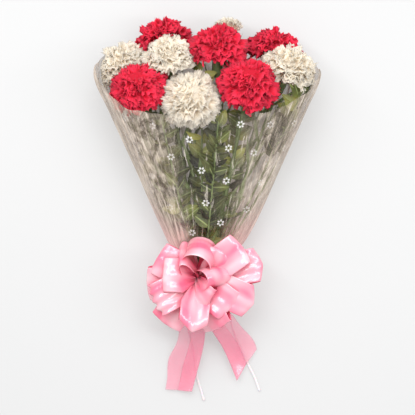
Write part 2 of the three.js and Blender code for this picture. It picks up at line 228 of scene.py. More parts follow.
def smoothly(pairs, key):  # reads (key, value) pairs as one smooth curve
    last = len(pairs) - 1
    if key <= pairs[0][0]:
        return pairs[0][1]
    if key >= pairs[last][0]:
        return pairs[last][1]
    i = next(n for n, pair in enumerate(pairs) if pair[0] > key) - 1
    (k0, v0), (k1, v1) = pairs[i], pairs[i + 1]

    def slope(j):
        if j == 0 or j == last:
            return (v1 - v0) / (k1 - k0)
        return (pairs[j + 1][1] - pairs[j - 1][1]) / (pairs[j + 1][0] - pairs[j - 1][0])
    t = (key - k0) / (k1 - k0)
    return (v0 * (2 * t ** 3 - 3 * t ** 2 + 1) + v1 * (3 * t ** 2 - 2 * t ** 3)
            + (k1 - k0) * (slope(i) * (t ** 3 - 2 * t ** 2 + t) + slope(i + 1) * (t ** 3 - t ** 2)))


def smoothLine(points, count, fineness=24):  # an even line through the points, as a flexible rod runs
    p = [Vector(q) for q in points]
    p = [p[0] * 2 - p[1]] + p + [p[-1] * 2 - p[-2]]
    fine = []
    for i in range(1, len(p) - 2):
        d0, d1, d2 = [max(1e-4, (p[i + j] - p[i + j - 1]).length ** 0.5) for j in range(3)]
        m1 = ((p[i] - p[i - 1]) / d0 - (p[i + 1] - p[i - 1]) / (d0 + d1) + (p[i + 1] - p[i]) / d1) * d1
        m2 = ((p[i + 1] - p[i]) / d1 - (p[i + 2] - p[i]) / (d1 + d2) + (p[i + 2] - p[i + 1]) / d2) * d1
        for step in range(fineness):
            t = step / fineness
            fine.append(p[i] * (2 * t ** 3 - 3 * t ** 2 + 1) + p[i + 1] * (3 * t ** 2 - 2 * t ** 3)
                        + m1 * (t ** 3 - 2 * t ** 2 + t) + m2 * (t ** 3 - t ** 2))
    fine.append(p[-2])
    reach = [0]
    for a, b in zip(fine, fine[1:]):
        reach.append(reach[-1] + (b - a).length)
    line, at = [], 0
    for n in range(count):
        want = reach[-1] * n / (count - 1)
        while at < len(fine) - 2 and reach[at + 1] < want:
            at += 1
        line.append(fine[at].lerp(fine[at + 1], (want - reach[at]) / max(1e-6, reach[at + 1] - reach[at])))
    return line


def gridMesh(name, rows, columns, place, closed=False, shift=0):
    # place(u, v) gives a point for u across and v along, both 0 to 1; shift moves the pattern across
    mesh = bpy.data.meshes.new(name)
    wide = columns if closed else columns + 1
    points = [place(c / columns, r / rows) for r in range(rows + 1) for c in range(wide)]
    faces = [(r * wide + c, r * wide + (c + 1) % wide, (r + 1) * wide + (c + 1) % wide, (r + 1) * wide + c)
             for r in range(rows) for c in range(columns)]
    mesh.from_pydata(points, [], faces)
    uv = mesh.uv_layers.new(name="along")
    for face, (r, c) in zip(mesh.polygons, ((r, c) for r in range(rows) for c in range(columns))):
        for loop, (dr, dc) in zip(face.loop_indices, ((0, 0), (0, 1), (1, 1), (1, 0))):
            uv.data[loop].uv = ((c + dc) / columns + shift, (r + dr) / rows)
    mesh.shade_smooth()
    return mesh


def joinMeshes(name, meshes):
    objects = [bpy.data.objects.new(name, mesh) for mesh in meshes]
    for obj in objects:
        bpy.context.scene.collection.objects.link(obj)
    with bpy.context.temp_override(active_object=objects[0], selected_editable_objects=objects):
        bpy.ops.object.join()
    mesh = objects[0].data
    bpy.data.objects.remove(objects[0])
    mesh.name = name
    return mesh


def runNodes(tree, data, values):
    # one pass of a node tree over some geometry, as a plain mesh; values go by the names of the inputs
    obj = bpy.data.objects.new("working", data)
    bpy.context.scene.collection.objects.link(obj)
    modifier = obj.modifiers.new("nodes", "NODES")
    modifier.node_group = tree
    for item in tree.interface.items_tree:
        if item.item_type == "SOCKET" and item.in_out == "INPUT" and item.name in values:
            modifier[item.identifier] = values[item.name]
    graph = bpy.context.evaluated_depsgraph_get()
    mesh = bpy.data.meshes.new_from_object(obj.evaluated_get(graph), depsgraph=graph)
    bpy.data.objects.remove(obj)
    return mesh


def newTree(name, inputs):
    tree = bpy.data.node_groups.new(name, "GeometryNodeTree")
    tree.interface.new_socket("Geometry", in_out="INPUT", socket_type="NodeSocketGeometry")
    for label, kind in inputs.items():
        tree.interface.new_socket(label, in_out="INPUT", socket_type="NodeSocket" + kind)
    tree.interface.new_socket("Geometry", in_out="OUTPUT", socket_type="NodeSocketGeometry")
    given = tree.nodes.new("NodeGroupInput")
    return tree, given


def makePiece(name, mesh, slotName, *cadNodes, thickness=0):
    piece = bpy.data.objects.new(name, mesh)
    bpy.context.scene.collection.objects.link(piece)
    if thickness:
        wall = piece.modifiers.new("wall", "SOLIDIFY")
        wall.thickness = thickness / 1000
        wall.offset = 0
    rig.ride(piece, "root")
    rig.slot(piece, slotName)
    if cadNodes:
        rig.replaces(piece, *cadNodes)
    return piece


# camera
view = {"middle": (0, 77.8, 60), "distance": 1500, "lens": 116, "sensor": 36}
camera = bpy.data.objects.new("camera", bpy.data.cameras.new("camera"))
camera.data.lens = view["lens"]
camera.data.sensor_width = view["sensor"]
camera.data.clip_end = 20
camera.location = toFrame(view["middle"]) + Vector((0, 0, view["distance"] / 1000))
bpy.context.scene.collection.objects.link(camera)
bpy.context.scene.camera = camera

# pull strings: flat strips of slit film, one on each side, out from under the bow
pullString = {"width": 2.6, "thickness": 0.8, "colour": "#dcd5d8", "steps": 90}
stringRoutes = {
    "left": [(-29.5, -7, 14), (-32, -17, 10), (-33, -28, 6), (-32, -40, 3), (-28, -52, 1.6), (-23, -64, 1.5),
             (-19, -77, 1.5), (-16.5, -90, 1.5), (-15, -102, 1.5), (-13.5, -112, 1.5), (-11.5, -122, 1.5),
             (-8.5, -132, 1.5), (-6, -140, 1.5), (-4, -147, 1.5)],
    "right": [(21.5, -7, 14), (24.5, -17, 10), (26, -28, 6), (26, -40, 3), (27, -52, 1.6), (30, -64, 1.5),
              (34, -76, 1.5), (39, -88, 1.5), (45, -100, 1.5), (50, -110, 1.5), (54.5, -119, 1.5),
              (58, -128, 1.5), (61, -136, 1.5)]}
# polypropylene, slit from film: milky and glossy, with faint draw lines along it
stringPlastic, tree, shader = newMaterial("slit polypropylene string", **{
    "Base Color": fromHex(pullString["colour"]), "Roughness": 0.3, "IOR": 1.49, "Subsurface Weight": 0.2,
    "Subsurface Scale": 0.002})
coords = addNode(tree, "ShaderNodeUVMap", {"uv_map": "along"})
lines = addNode(tree, "ShaderNodeTexWave", {"bands_direction": "X"},
                {"Vector": coords, "Scale": 3.0, "Distortion": 0.6})
bump = addNode(tree, "ShaderNodeBump",
               links={"Height": lines.outputs[1], "Strength": 0.25, "Distance": 0.0003})
tree.links.new(bump.outputs[0], shader.inputs["Normal"])


def stripTube(route, width, thickness, steps, sides=10):
    line = smoothLine(route, steps + 1)
    rings = []
    for n, point in enumerate(line):
        ahead = (line[min(n + 1, steps)] - line[max(n - 1, 0)]).normalized()
        across = ahead.cross(Vector((0, 0, 1))).normalized()
        up = across.cross(ahead)
        rings.append([point + across * math.cos(a) * width / 2 + up * math.sin(a) * thickness / 2
                      for a in (2 * math.pi * s / sides for s in range(sides))])
    mesh = gridMesh("strip", steps, sides,
                    lambda u, v: toFrame(rings[round(v * steps)][round(u * sides) % sides]), True)
    faces = [list(face.vertices) for face in mesh.polygons]
    points = [vertex.co.copy() for vertex in mesh.vertices]
    faces += [list(range(sides))[::-1], list(range(steps * sides, (steps + 1) * sides))]
    closedMesh = bpy.data.meshes.new("strip")
    closedMesh.from_pydata(points, [], faces)
    uv = closedMesh.uv_layers.new(name="along")
    for face in closedMesh.polygons:
        for loop, corner in zip(face.loop_indices, face.vertices):
            uv.data[loop].uv = (corner % sides / sides, corner // sides / steps)
    closedMesh.shade_smooth()
    length = sum((b - a).length for a, b in zip(line, line[1:]))
    return closedMesh, [toFrame(p) for p in line], length / 1000


for side, route in stringRoutes.items():
    mesh, path, length = stripTube(route, pullString["width"], pullString["thickness"], pullString["steps"])
    mesh.materials.append(stringPlastic)
    piece = makePiece("pullString." + side, mesh, "pull_string", "pull_string_" + side)
    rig.cord(piece, exit=path[0], length=round(length, 3), diameter=pullString["width"] / 1000, far_end="bare",
            stiffness="limp", lay="loose", path=path)
print("strings done")

# the film's outline, which also holds flowers and leaves in
# the pink colour near the tie is a painted reflection of the pink bow
# the shade colour paints darker lines of shade in the film's crinkles
film = {
    "skirt": -42,  # where it ends below the tie
    # how many round it, phase, share of the depth
    "pleats": ((19, 0.4, 1.0), (31, 1.9, 0.8), (47, 4.0, 0.55)),
    "pleatDepth": 3.6, "rows": 90, "columns": 420,
    "haze": "#ddcdbd", "shade": "#75665a", "pinkReflection": "#e8c0bc",
    "print": "#ffffff", "printShade": "#e6e0dc", "inkAlpha": 0.55, "flowerSize": 8.5, "flowerGap": 29}
waist = {"across": 20.1, "up": 15.35, "low": 4.65, "high": 35.35}  # the sleeve where the string goes round it
# each of these gives a size at each y
sleeveHalfWidth = [(-42, 25.6), (-14, waist["across"]), (6, waist["across"]), (41, 46), (131, 87), (187, 112),
                   (222, 127), (244, 124), (266, 112)]
sleeveBottom = [(-42, 2.65), (-14, waist["low"]), (6, waist["low"]), (41, 0), (44, 0), (266, 0)]
sleeveTop = [(-42, 32.35), (-14, waist["high"]), (6, waist["high"]), (41, 54.35), (131, 95), (187, 120),
             (222, 130), (266, 124)]
sleeveFlat = [(6, 1), (41, 1.15), (266, 1.15)]  # over 1, the back is pressed flat where it lies
sleeveMiddle = [(-42, layout["tieX"]), (6, layout["tieX"]), (60, 0), (266, 0)]
# and this one the y of the film's edge at each angle, from the right (0) over the front (90)
sleeveEdge = [(0, 230), (14, 220), (28, 204), (45, 188), (60, 182), (90, 178), (122, 180), (143, 190),
              (160, 214), (180, 240), (215, 260), (270, 252), (330, 246), (360, 232)]
# nothing past last is pressed, and fill is the share of the room inside that may be filled
pressing = {"offTable": 0.4, "last": 262, "pastEdge": 6, "fill": 0.97, "corner": 2.5}


def pressedIn(mesh, ease=5):
    # whatever reaches the film is pressed back inside it, and what would sink into the table rests on it;
    # beyond the film's edge all is free
    for vertex in mesh.vertices:
        vertex.co.z = max(vertex.co.z, pressing["offTable"] / 1000)
        spot = (vertex.co - tie) * 1000
        if not film["skirt"] < spot.y < pressing["last"]:
            continue
        low, high = smoothly(sleeveBottom, spot.y), smoothly(sleeveTop, spot.y)
        centre = Vector((smoothly(sleeveMiddle, spot.y), spot.y, (low + high) / 2))
        angle = math.degrees(math.atan2(spot.z - centre.z, spot.x - centre.x)) % 360
        if spot.y > pressing["pastEdge"] + smoothly(sleeveEdge, angle):
            continue
        across = abs((spot.x - centre.x) / (smoothly(sleeveHalfWidth, spot.y) - ease))
        up = abs((spot.z - centre.z) / ((high - low) / 2 - ease / 2))
        reach = (across ** pressing["corner"] + up ** pressing["corner"]) ** (1 / pressing["corner"])
        if reach > pressing["fill"]:
            vertex.co = toFrame(centre + (spot - centre) * pressing["fill"] / reach)


# flowers: where each head sits, which way it looks and how wide it opens
flowers = {
    "red_front_left": {"middle": (-79, 217, 88), "faces": (-0.22, 0.68, 0.70), "width": 63,
                       "slot": (-1.7, 3)},
    "white_front_middle": {"middle": (-18, 202, 96), "faces": (0.04, 0.40, 0.92), "width": 64,
                           "slot": (-0.6, 3)},
    "red_front_right": {"middle": (47, 221, 92), "faces": (0.16, 0.64, 0.75), "width": 64, "slot": (0.8, 3)},
    "red_middle": {"middle": (12, 266, 66), "faces": (0.03, 0.93, 0.36), "width": 62, "slot": (0, 1)},
    "white_left_inner": {"middle": (-45, 254.5, 70), "faces": (-0.12, 0.92, 0.36), "width": 58,
                         "slot": (-1, 1)},
    "white_left_outer": {"middle": (-102, 247, 50), "faces": (-0.5, 0.8, 0.32), "width": 60, "slot": (-2, 1)},
    "white_right": {"middle": (98, 241, 62), "faces": (0.5, 0.82, 0.28), "width": 66, "slot": (1.1, 1)},
    "red_back_left": {"middle": (-52, 279, 33), "faces": (-0.18, 0.98, -0.04), "width": 60, "slot": (-1, 0)},
    "red_back_right": {"middle": (79, 267, 33), "faces": (0.25, 0.96, 0), "width": 60, "slot": (1, 0)},
    "white_back_bud": {"middle": (24, 283, 38), "faces": (0.1, 0.99, 0.02), "width": 29, "slot": (0, 0)}}
calyxPart = {"length": 26, "width": 12.5, "headSeat": 0.3}  # the seat is a share of the head's width
for flower in flowers.values():
    flower["faces"] = Vector(flower["faces"]).normalized()
    flower["neck"] = Vector(flower["middle"]) - flower["faces"] * calyxPart["headSeat"] * flower["width"]
    flower["foot"] = flower["neck"] - flower["faces"] * calyxPart["length"]

# petals
# each colour darkens towards the petal's base as painted shade deep in the head, and lightens at the margin as a
# painted highlight on the petal tips
petal = {
    "fan": 0.60,     # half angle of the fan, in radians
    "ruffle": 0.11,  # height of the waves along the margin, as a share of the petal's length
    "teeth": 0.03,   # depth of the fringe
    "curl": 0.30,    # how far the margin of an outer petal rolls outward
    "variants": 8, "across": 36, "along": 7, "thickness": 0.35,
    "red": {"shadedBase": "#9c0019", "face": "#d60628", "litMargin": "#ee3250", "tone": (0.80, 1.12), "crumple": 0.010,
            "glow": 0.22},
    "white": {"shadedBase": "#fff3dc", "face": "#fff6e8", "litMargin": "#fffaf0", "tone": (0.94, 1.04),
              "crumple": 0.007, "glow": 0.6}}
# opening is the tilt of the outermost petals in degrees; grown and crumple are factors
stages = {"open": {"count": 84, "grown": 1.0, "opening": 70, "core": 0.33, "crumple": 1.0},
          "bud": {"count": 26, "grown": 1.3, "opening": 28, "core": 0.2, "crumple": 0.6}}


def petalMesh(number):
    # the first half of the stock is for the middle of a head: more ruffled and less rolled out
    inner = number < petal["variants"] / 2
    dice = random.Random(40 + number)
    waves = [(dice.uniform(7.5, 9.5), dice.uniform(0, 6.3), 0.6),
             (dice.uniform(13, 16), dice.uniform(0, 6.3), 0.38),
             (dice.uniform(20, 23), dice.uniform(0, 6.3), 0.14)]
    lean, curl = dice.uniform(-0.08, 0.08), petal["curl"] * (0.5 if inner else 1)
    ruffle = petal["ruffle"] * (1.2 if inner else 0.95)

    def place(u, v):
        side = 2 * u - 1
        fringe = petal["teeth"] * (1 if round(u * petal["across"]) % 2 else -1) * smoothstep(0.8, 1, v)
        notch = 0.06 * math.sin(side * 4.2 + waves[0][1]) * v
        reach = v * (1 + fringe + notch - 0.12 * side * side)
        angle = side * petal["fan"] * (0.30 + 0.70 * smoothstep(0, 0.65, v))
        wave = sum(share * math.sin(pace * side + shift) for pace, shift, share in waves)
        out = ruffle * wave * v ** 1.8 - curl * v ** 4 + lean * side * v
        return (reach * math.sin(angle), out, reach * math.cos(angle) - 0.08 * v ** 6)
    return gridMesh("petal", petal["along"], petal["across"], place)


petalStock = bpy.data.collections.new("petalStock")
for number in range(petal["variants"]):
    petalStock.objects.link(bpy.data.objects.new("petal%d" % number, petalMesh(number)))

# crowds the petals round the neck by the golden angle, upright in the middle and spreading outwards
carnationTree, given = newTree("carnation", {
    "Petals": "Collection", "Count": "Int", "Width": "Float", "Open": "Float", "Core": "Float",
    "Crumple": "Float", "Seed": "Int", "Finish": "Material"})
tree = carnationTree
seeds = given.outputs["Seed"]
points = addNode(tree, "GeometryNodePoints", links={"Count": given.outputs["Count"]})
index = addNode(tree, "GeometryNodeInputIndex")
last = addNode(tree, "ShaderNodeMath", {"operation": "SUBTRACT"}, {0: given.outputs["Count"], 1: 1.0})
order = addNode(tree, "ShaderNodeMath", {"operation": "DIVIDE"}, {0: index, 1: last})
cosOpen = addNode(tree, "ShaderNodeMath", {"operation": "COSINE"}, {0: given.outputs["Open"]})
dropped = addNode(tree, "ShaderNodeMath", {"operation": "SUBTRACT"}, {0: 1.0, 1: cosOpen})
part = addNode(tree, "ShaderNodeMath", {"operation": "MULTIPLY"}, {0: order, 1: dropped})
cosTilt = addNode(tree, "ShaderNodeMath", {"operation": "SUBTRACT"}, {0: 1.0, 1: part})
tilt = addNode(tree, "ShaderNodeMath", {"operation": "ARCCOSINE"}, {0: cosTilt})
tiltPlay = addNode(tree, "FunctionNodeRandomValue", {"data_type": "FLOAT"},
                   {2: -0.16, 3: 0.16, "Seed": seeds})
tilted = addNode(tree, "ShaderNodeMath", {"operation": "ADD"}, {0: tilt, 1: tiltPlay.outputs[1]})
turn = addNode(tree, "ShaderNodeMath", {"operation": "MULTIPLY"}, {0: index, 1: 2.39996})
seedTwo = addNode(tree, "ShaderNodeMath", {"operation": "ADD"}, {0: seeds, 1: 17.0})
twist = addNode(tree, "FunctionNodeRandomValue", {"data_type": "FLOAT"}, {2: -0.5, 3: 0.5, "Seed": seedTwo})
pose = addNode(tree, "ShaderNodeCombineXYZ", links={0: tilted, 1: 0.0, 2: turn})
rotation = addNode(tree, "FunctionNodeEulerToRotation", links={0: pose})
ownTwist = addNode(tree, "ShaderNodeCombineXYZ", links={0: 0.0, 1: 0.0, 2: twist.outputs[1]})
twistRotation = addNode(tree, "FunctionNodeEulerToRotation", links={0: ownTwist})
rotationFinal = addNode(tree, "FunctionNodeRotateRotation", {"rotation_space": "LOCAL"},
                        {0: rotation, 1: twistRotation})
seedThree = addNode(tree, "ShaderNodeMath", {"operation": "ADD"}, {0: seeds, 1: 31.0})
lengthPlay = addNode(tree, "FunctionNodeRandomValue", {"data_type": "FLOAT"},
                     {2: 0.93, 3: 1.04, "Seed": seedThree})
lengthShare = addNode(tree, "ShaderNodeMapRange", links={0: order, 3: 0.585, 4: 0.49})
lengthNow = addNode(tree, "ShaderNodeMath", {"operation": "MULTIPLY"},
                    {0: lengthShare, 1: lengthPlay.outputs[1]})
widthShare = addNode(tree, "ShaderNodeMapRange", links={0: order, 3: 0.28, 4: 0.50})
thickShare = addNode(tree, "ShaderNodeMapRange", links={0: order, 3: 0.62, 4: 0.50})
sizes = addNode(tree, "ShaderNodeCombineXYZ", links={0: widthShare, 1: thickShare, 2: lengthNow})
sized = addNode(tree, "ShaderNodeVectorMath", {"operation": "SCALE"},
                {0: sizes, "Scale": given.outputs["Width"]})
ring = addNode(tree, "ShaderNodeMath", {"operation": "MULTIPLY"}, {0: order, 1: 0.05})
ringWide = addNode(tree, "ShaderNodeMath", {"operation": "MULTIPLY"}, {0: ring, 1: given.outputs["Width"]})
sine = addNode(tree, "ShaderNodeMath", {"operation": "SINE"}, {0: turn})
cosine = addNode(tree, "ShaderNodeMath", {"operation": "COSINE"}, {0: turn})
minus = addNode(tree, "ShaderNodeMath", {"operation": "MULTIPLY"}, {0: cosine, 1: -1.0})
way = addNode(tree, "ShaderNodeCombineXYZ", links={0: sine, 1: minus, 2: 0.0})
seat = addNode(tree, "ShaderNodeVectorMath", {"operation": "SCALE"}, {0: way, "Scale": ringWide})
seated = addNode(tree, "GeometryNodeSetPosition", links={"Geometry": points, "Position": seat})
stock = addNode(tree, "GeometryNodeCollectionInfo", links={
    "Collection": given.outputs["Petals"], "Separate Children": True, "Reset Children": True})
pickPlay = addNode(tree, "FunctionNodeRandomValue", {"data_type": "FLOAT"},
                   {2: 0.0, 3: petal["variants"] / 2 - 0.1, "Seed": seeds})
outer = addNode(tree, "ShaderNodeMath", {"operation": "GREATER_THAN"}, {0: order, 1: 0.38})
picked = addNode(tree, "ShaderNodeMath", {"operation": "MULTIPLY_ADD"},
                 {0: outer, 1: petal["variants"] / 2, 2: pickPlay.outputs[1]})
pick = addNode(tree, "FunctionNodeFloatToInt", {"rounding_mode": "FLOOR"}, {0: picked})
crowd = addNode(tree, "GeometryNodeInstanceOnPoints", links={
    "Points": seated, "Instance": stock, "Pick Instance": True, "Instance Index": pick,
    "Rotation": rotationFinal, "Scale": sized})
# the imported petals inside, as one crumpled body that closes the gaps
core = addNode(tree, "GeometryNodeMeshIcoSphere", links={"Radius": 1.0, "Subdivisions": 5})
coreFull = addNode(tree, "ShaderNodeMath", {"operation": "MULTIPLY"},
                   {0: given.outputs["Core"], 1: given.outputs["Width"]})
coreTall = addNode(tree, "ShaderNodeMath", {"operation": "MULTIPLY"}, {0: coreFull, 1: 0.85})
coreSize = addNode(tree, "ShaderNodeCombineXYZ", links={0: coreFull, 1: coreFull, 2: coreTall})
coreUp = addNode(tree, "ShaderNodeMath", {"operation": "MULTIPLY"}, {0: given.outputs["Width"], 1: 0.17})
corePlace = addNode(tree, "ShaderNodeCombineXYZ", links={2: coreUp})
coreSet = addNode(tree, "GeometryNodeTransform",
                  links={"Geometry": core, "Translation": corePlace, "Scale": coreSize})
coreSet = addNode(tree, "GeometryNodeStoreNamedAttribute", {"data_type": "FLOAT2", "domain": "CORNER"},
                  {"Geometry": coreSet, "Name": "along", "Value": (0.5, 0.8, 0.0)})
tone = addNode(tree, "FunctionNodeRandomValue", {"data_type": "FLOAT"}, {2: 0.0, 3: 1.0, "Seed": seedTwo})
marked = addNode(tree, "GeometryNodeStoreNamedAttribute", {"data_type": "FLOAT", "domain": "INSTANCE"},
                 {"Geometry": crowd, "Name": "petalTone", "Value": tone.outputs[1]})
real = addNode(tree, "GeometryNodeRealizeInstances", links={0: marked})
real = addNode(tree, "GeometryNodeJoinGeometry", links={0: real})
tree.links.new(coreSet.outputs[0], real.inputs[0])
where = addNode(tree, "GeometryNodeInputPosition")
crumple = addNode(tree, "ShaderNodeTexNoise", links={"Vector": where, "Scale": 120.0, "Detail": 2.0})
centred = addNode(tree, "ShaderNodeVectorMath", {"operation": "SUBTRACT"},
                  {0: crumple.outputs[1], 1: (0.5, 0.5, 0.5)})
fineNoise = addNode(tree, "ShaderNodeTexNoise", links={"Vector": where, "Scale": 320.0, "Detail": 1.0})
fineCentred = addNode(tree, "ShaderNodeVectorMath", {"operation": "SUBTRACT"},
                      {0: fineNoise.outputs[1], 1: (0.5, 0.5, 0.5)})
both = addNode(tree, "ShaderNodeVectorMath", {"operation": "MULTIPLY_ADD"},
               {0: fineCentred, 1: (0.4, 0.4, 0.4), 2: centred})
shift = addNode(tree, "ShaderNodeVectorMath", {"operation": "SCALE"},
                {0: both, "Scale": given.outputs["Crumple"]})
crumpled = addNode(tree, "GeometryNodeSetPosition", links={"Geometry": real, "Offset": shift})
finished = addNode(tree, "GeometryNodeSetMaterial",
                   links={"Geometry": crumpled, "Material": given.outputs["Finish"]})
addNode(tree, "NodeGroupOutput", links={0: finished})


def petalMaterial(name, colours):
    # fresh petals: velvety cells scatter light, so hardly any gloss, a faint sheen, and light glowing through
    material, tree, shader = newMaterial(name, **{
        "Roughness": 0.65, "IOR": 1.4, "Specular IOR Level": 0.25, "Sheen Weight": 0.08,
        "Sheen Roughness": 0.5})
    along = addNode(tree, "ShaderNodeUVMap", {"uv_map": "along"})
    split = addNode(tree, "ShaderNodeSeparateXYZ", links={0: along})
    # along the petal the colour runs from a darker base, painted shade deep in the head, through the face to a lighter
    # margin, a painted highlight
    ramp = addNode(tree, "ShaderNodeValToRGB", links={0: split.outputs[1]})
    ramp.color_ramp.elements[0].position, ramp.color_ramp.elements[0].color = 0.25, fromHex(colours["shadedBase"])
    ramp.color_ramp.elements[1].position, ramp.color_ramp.elements[1].color = 0.97, fromHex(colours["litMargin"])
    middle = ramp.color_ramp.elements.new(0.72)
    middle.color = fromHex(colours["face"])
    tone = addNode(tree, "ShaderNodeAttribute", {"attribute_name": "petalTone"})
    level = addNode(tree, "ShaderNodeMapRange",
                    links={0: tone.outputs["Fac"], 3: colours["tone"][0], 4: colours["tone"][1]})
    tinted = addNode(tree, "ShaderNodeHueSaturation", links={"Value": level, "Color": ramp})
    tree.links.new(tinted.outputs[0], shader.inputs["Base Color"])
    # fine veins fan out along the petal, about half a millimetre apart
    stretched = addNode(tree, "ShaderNodeMapping", links={"Vector": along, "Scale": (44.0, 2.0, 1.0)})
    veins = addNode(tree, "ShaderNodeTexNoise", links={"Vector": stretched, "Scale": 1.0, "Detail": 2.0})
    bump = addNode(tree, "ShaderNodeBump", links={"Height": veins, "Strength": 0.35, "Distance": 0.0006})
    tree.links.new(bump.outputs[0], shader.inputs["Normal"])
    through = addNode(tree, "ShaderNodeBsdfTranslucent", links={"Color": tinted})
    mix = addNode(tree, "ShaderNodeMixShader", links={0: colours["glow"], 1: shader, 2: through})
    tree.links.new(mix.outputs[0], tree.nodes["Material Output"].inputs["Surface"])
    return material


petalSkins = {}
for colour in ("red", "white"):
    petalSkins[colour] = petalMaterial(colour + " carnation petal", petal[colour])
for number, (name, flower) in enumerate(flowers.items()):
    colour = "red" if name.startswith("red") else "white"
    stage = stages["bud" if "bud" in name else "open"]
    mesh = runNodes(carnationTree, bpy.data.meshes.new("none"), {
        "Petals": petalStock, "Count": stage["count"], "Width": flower["width"] / 1000 * stage["grown"],
        "Open": math.radians(stage["opening"]), "Core": stage["core"],
        "Crumple": petal[colour]["crumple"] * stage["crumple"], "Seed": 3 + number,
        "Finish": petalSkins[colour]})
    turned = flower["faces"].to_track_quat("Z", "Y").to_matrix().to_4x4()
    mesh.transform(Matrix.Translation(toFrame(flower["neck"])) @ turned)
    pressedIn(mesh, 3)
    mesh.shade_smooth()
    makePiece("bloom." + name, mesh, "petal_" + colour, "bloom_" + name, thickness=petal["thickness"])
for obj in list(petalStock.objects):
    bpy.data.objects.remove(obj)
bpy.data.collections.remove(petalStock)
print("flowers done")

# stems, calyxes and leaves
bundle = {"pitch": 5.5, "rise": 4.9, "lastSlot": 2.2, "middleRow": 1.5, "cutEnd": -50}
stemPart = {"width": 4.4, "nodeEvery": 52, "swell": 0.32, "leafLength": 46, "leafWidth": 4.5, "leaves": 14,
            "green": "#525f30", "bloom": "#7c8a5b"}
# the near-black leaf colour is painted shade between the leaves
leafPart = {"length": 22, "width": 12.5, "perSprig": 34, "sprigWidth": 2.6,
            "face": "#565c26", "light": "#9f9b50", "paintedShade": "#1b230b", "rib": "#a3b070"}


def slotPoint(slot, y):  # where a stem in this column and row of the tied bundle is at this y
    return Vector((layout["tieX"] + slot[0] * bundle["pitch"], y,
                   layout["tieHeight"] + (slot[1] - bundle["middleRow"]) * bundle["rise"]))


# fresh stem: smooth green skin under a pale waxy bloom that rubs off in patches
stemSkin, tree, shader = newMaterial("waxy carnation stem", **{
    "Roughness": 0.42, "IOR": 1.42, "Subsurface Weight": 0.05, "Subsurface Scale": 0.002})
coords = addNode(tree, "ShaderNodeTexCoord")
patches = addNode(tree, "ShaderNodeTexNoise",
                  links={"Vector": coords.outputs["Object"], "Scale": 90.0, "Detail": 4.0})
ramp = addNode(tree, "ShaderNodeValToRGB", links={0: patches})
ramp.color_ramp.elements[0].position, ramp.color_ramp.elements[0].color = 0.35, fromHex(stemPart["green"])
ramp.color_ramp.elements[1].position, ramp.color_ramp.elements[1].color = 0.7, fromHex(stemPart["bloom"])
tree.links.new(ramp.outputs[0], shader.inputs["Base Color"])
# leaves: satin upper side, a paler midrib and side veins; broad patches run from near-black painted shade between the
# leaves to light olive, and each leaf's random tone, which reaches near black, paints more shade
leafSkin, tree, shader = newMaterial("satin foliage leaf", **{
    "Roughness": 0.4, "IOR": 1.45, "Subsurface Weight": 0.05, "Subsurface Scale": 0.002})
coords = addNode(tree, "ShaderNodeTexCoord")
patches = addNode(tree, "ShaderNodeTexNoise",
                  links={"Vector": coords.outputs["Object"], "Scale": 22.0, "Detail": 3.0})
ramp = addNode(tree, "ShaderNodeValToRGB", links={0: patches})
ramp.color_ramp.elements[0].position, ramp.color_ramp.elements[0].color = 0.32, fromHex(leafPart["paintedShade"])
ramp.color_ramp.elements[1].position, ramp.color_ramp.elements[1].color = 0.68, fromHex(leafPart["light"])
ramp.color_ramp.elements.new(0.5).color = fromHex(leafPart["face"])
along = addNode(tree, "ShaderNodeUVMap", {"uv_map": "along"})
split = addNode(tree, "ShaderNodeSeparateXYZ", links={0: along})
fromRib = addNode(tree, "ShaderNodeMath", {"operation": "SUBTRACT"}, {0: split.outputs[0], 1: 0.5})
ribDistance = addNode(tree, "ShaderNodeMath", {"operation": "ABSOLUTE"}, {0: fromRib})
rib = addNode(tree, "ShaderNodeMapRange", links={0: ribDistance, 1: 0.02, 2: 0.09, 3: 0.45, 4: 0.0})
ribbed = addNode(tree, "ShaderNodeMix", {"data_type": "RGBA"}, {0: rib, 6: ramp, 7: fromHex(leafPart["rib"])})
tone = addNode(tree, "ShaderNodeAttribute", {"attribute_name": "leafTone"})
level = addNode(tree, "ShaderNodeMapRange", links={0: tone.outputs["Fac"], 3: 0.10, 4: 1.5})
toned = addNode(tree, "ShaderNodeHueSaturation", links={"Value": level, "Color": ribbed.outputs[2]})
tree.links.new(toned.outputs[0], shader.inputs["Base Color"])
slant = addNode(tree, "ShaderNodeMath", {"operation": "ADD"}, {0: ribDistance, 1: split.outputs[1]})
veins = addNode(tree, "ShaderNodeMath", {"operation": "MULTIPLY"}, {0: slant, 1: 60.0})
wave = addNode(tree, "ShaderNodeMath", {"operation": "SINE"}, {0: veins})
bump = addNode(tree, "ShaderNodeBump", links={"Height": wave, "Strength": 0.3, "Distance": 0.0004})
tree.links.new(bump.outputs[0], shader.inputs["Normal"])


def leafMesh(name, length, width, fold, droop, rows=10, columns=6):
    def place(u, v):
        side = 2 * u - 1
        half = width / 2 * math.sin(math.pi * min(1, v ** 0.8)) ** 0.85 * (1 - 0.25 * v) + 0.25 * (1 - v)
        wavy = 0.03 * length * math.sin(9 * v + 2 * side) * abs(side) * v
        lift = fold * abs(side) * half - droop * v * v * length + wavy
        return (side * half / 1000, v * length / 1000, lift / 1000)
    return gridMesh(name, rows, columns, place)


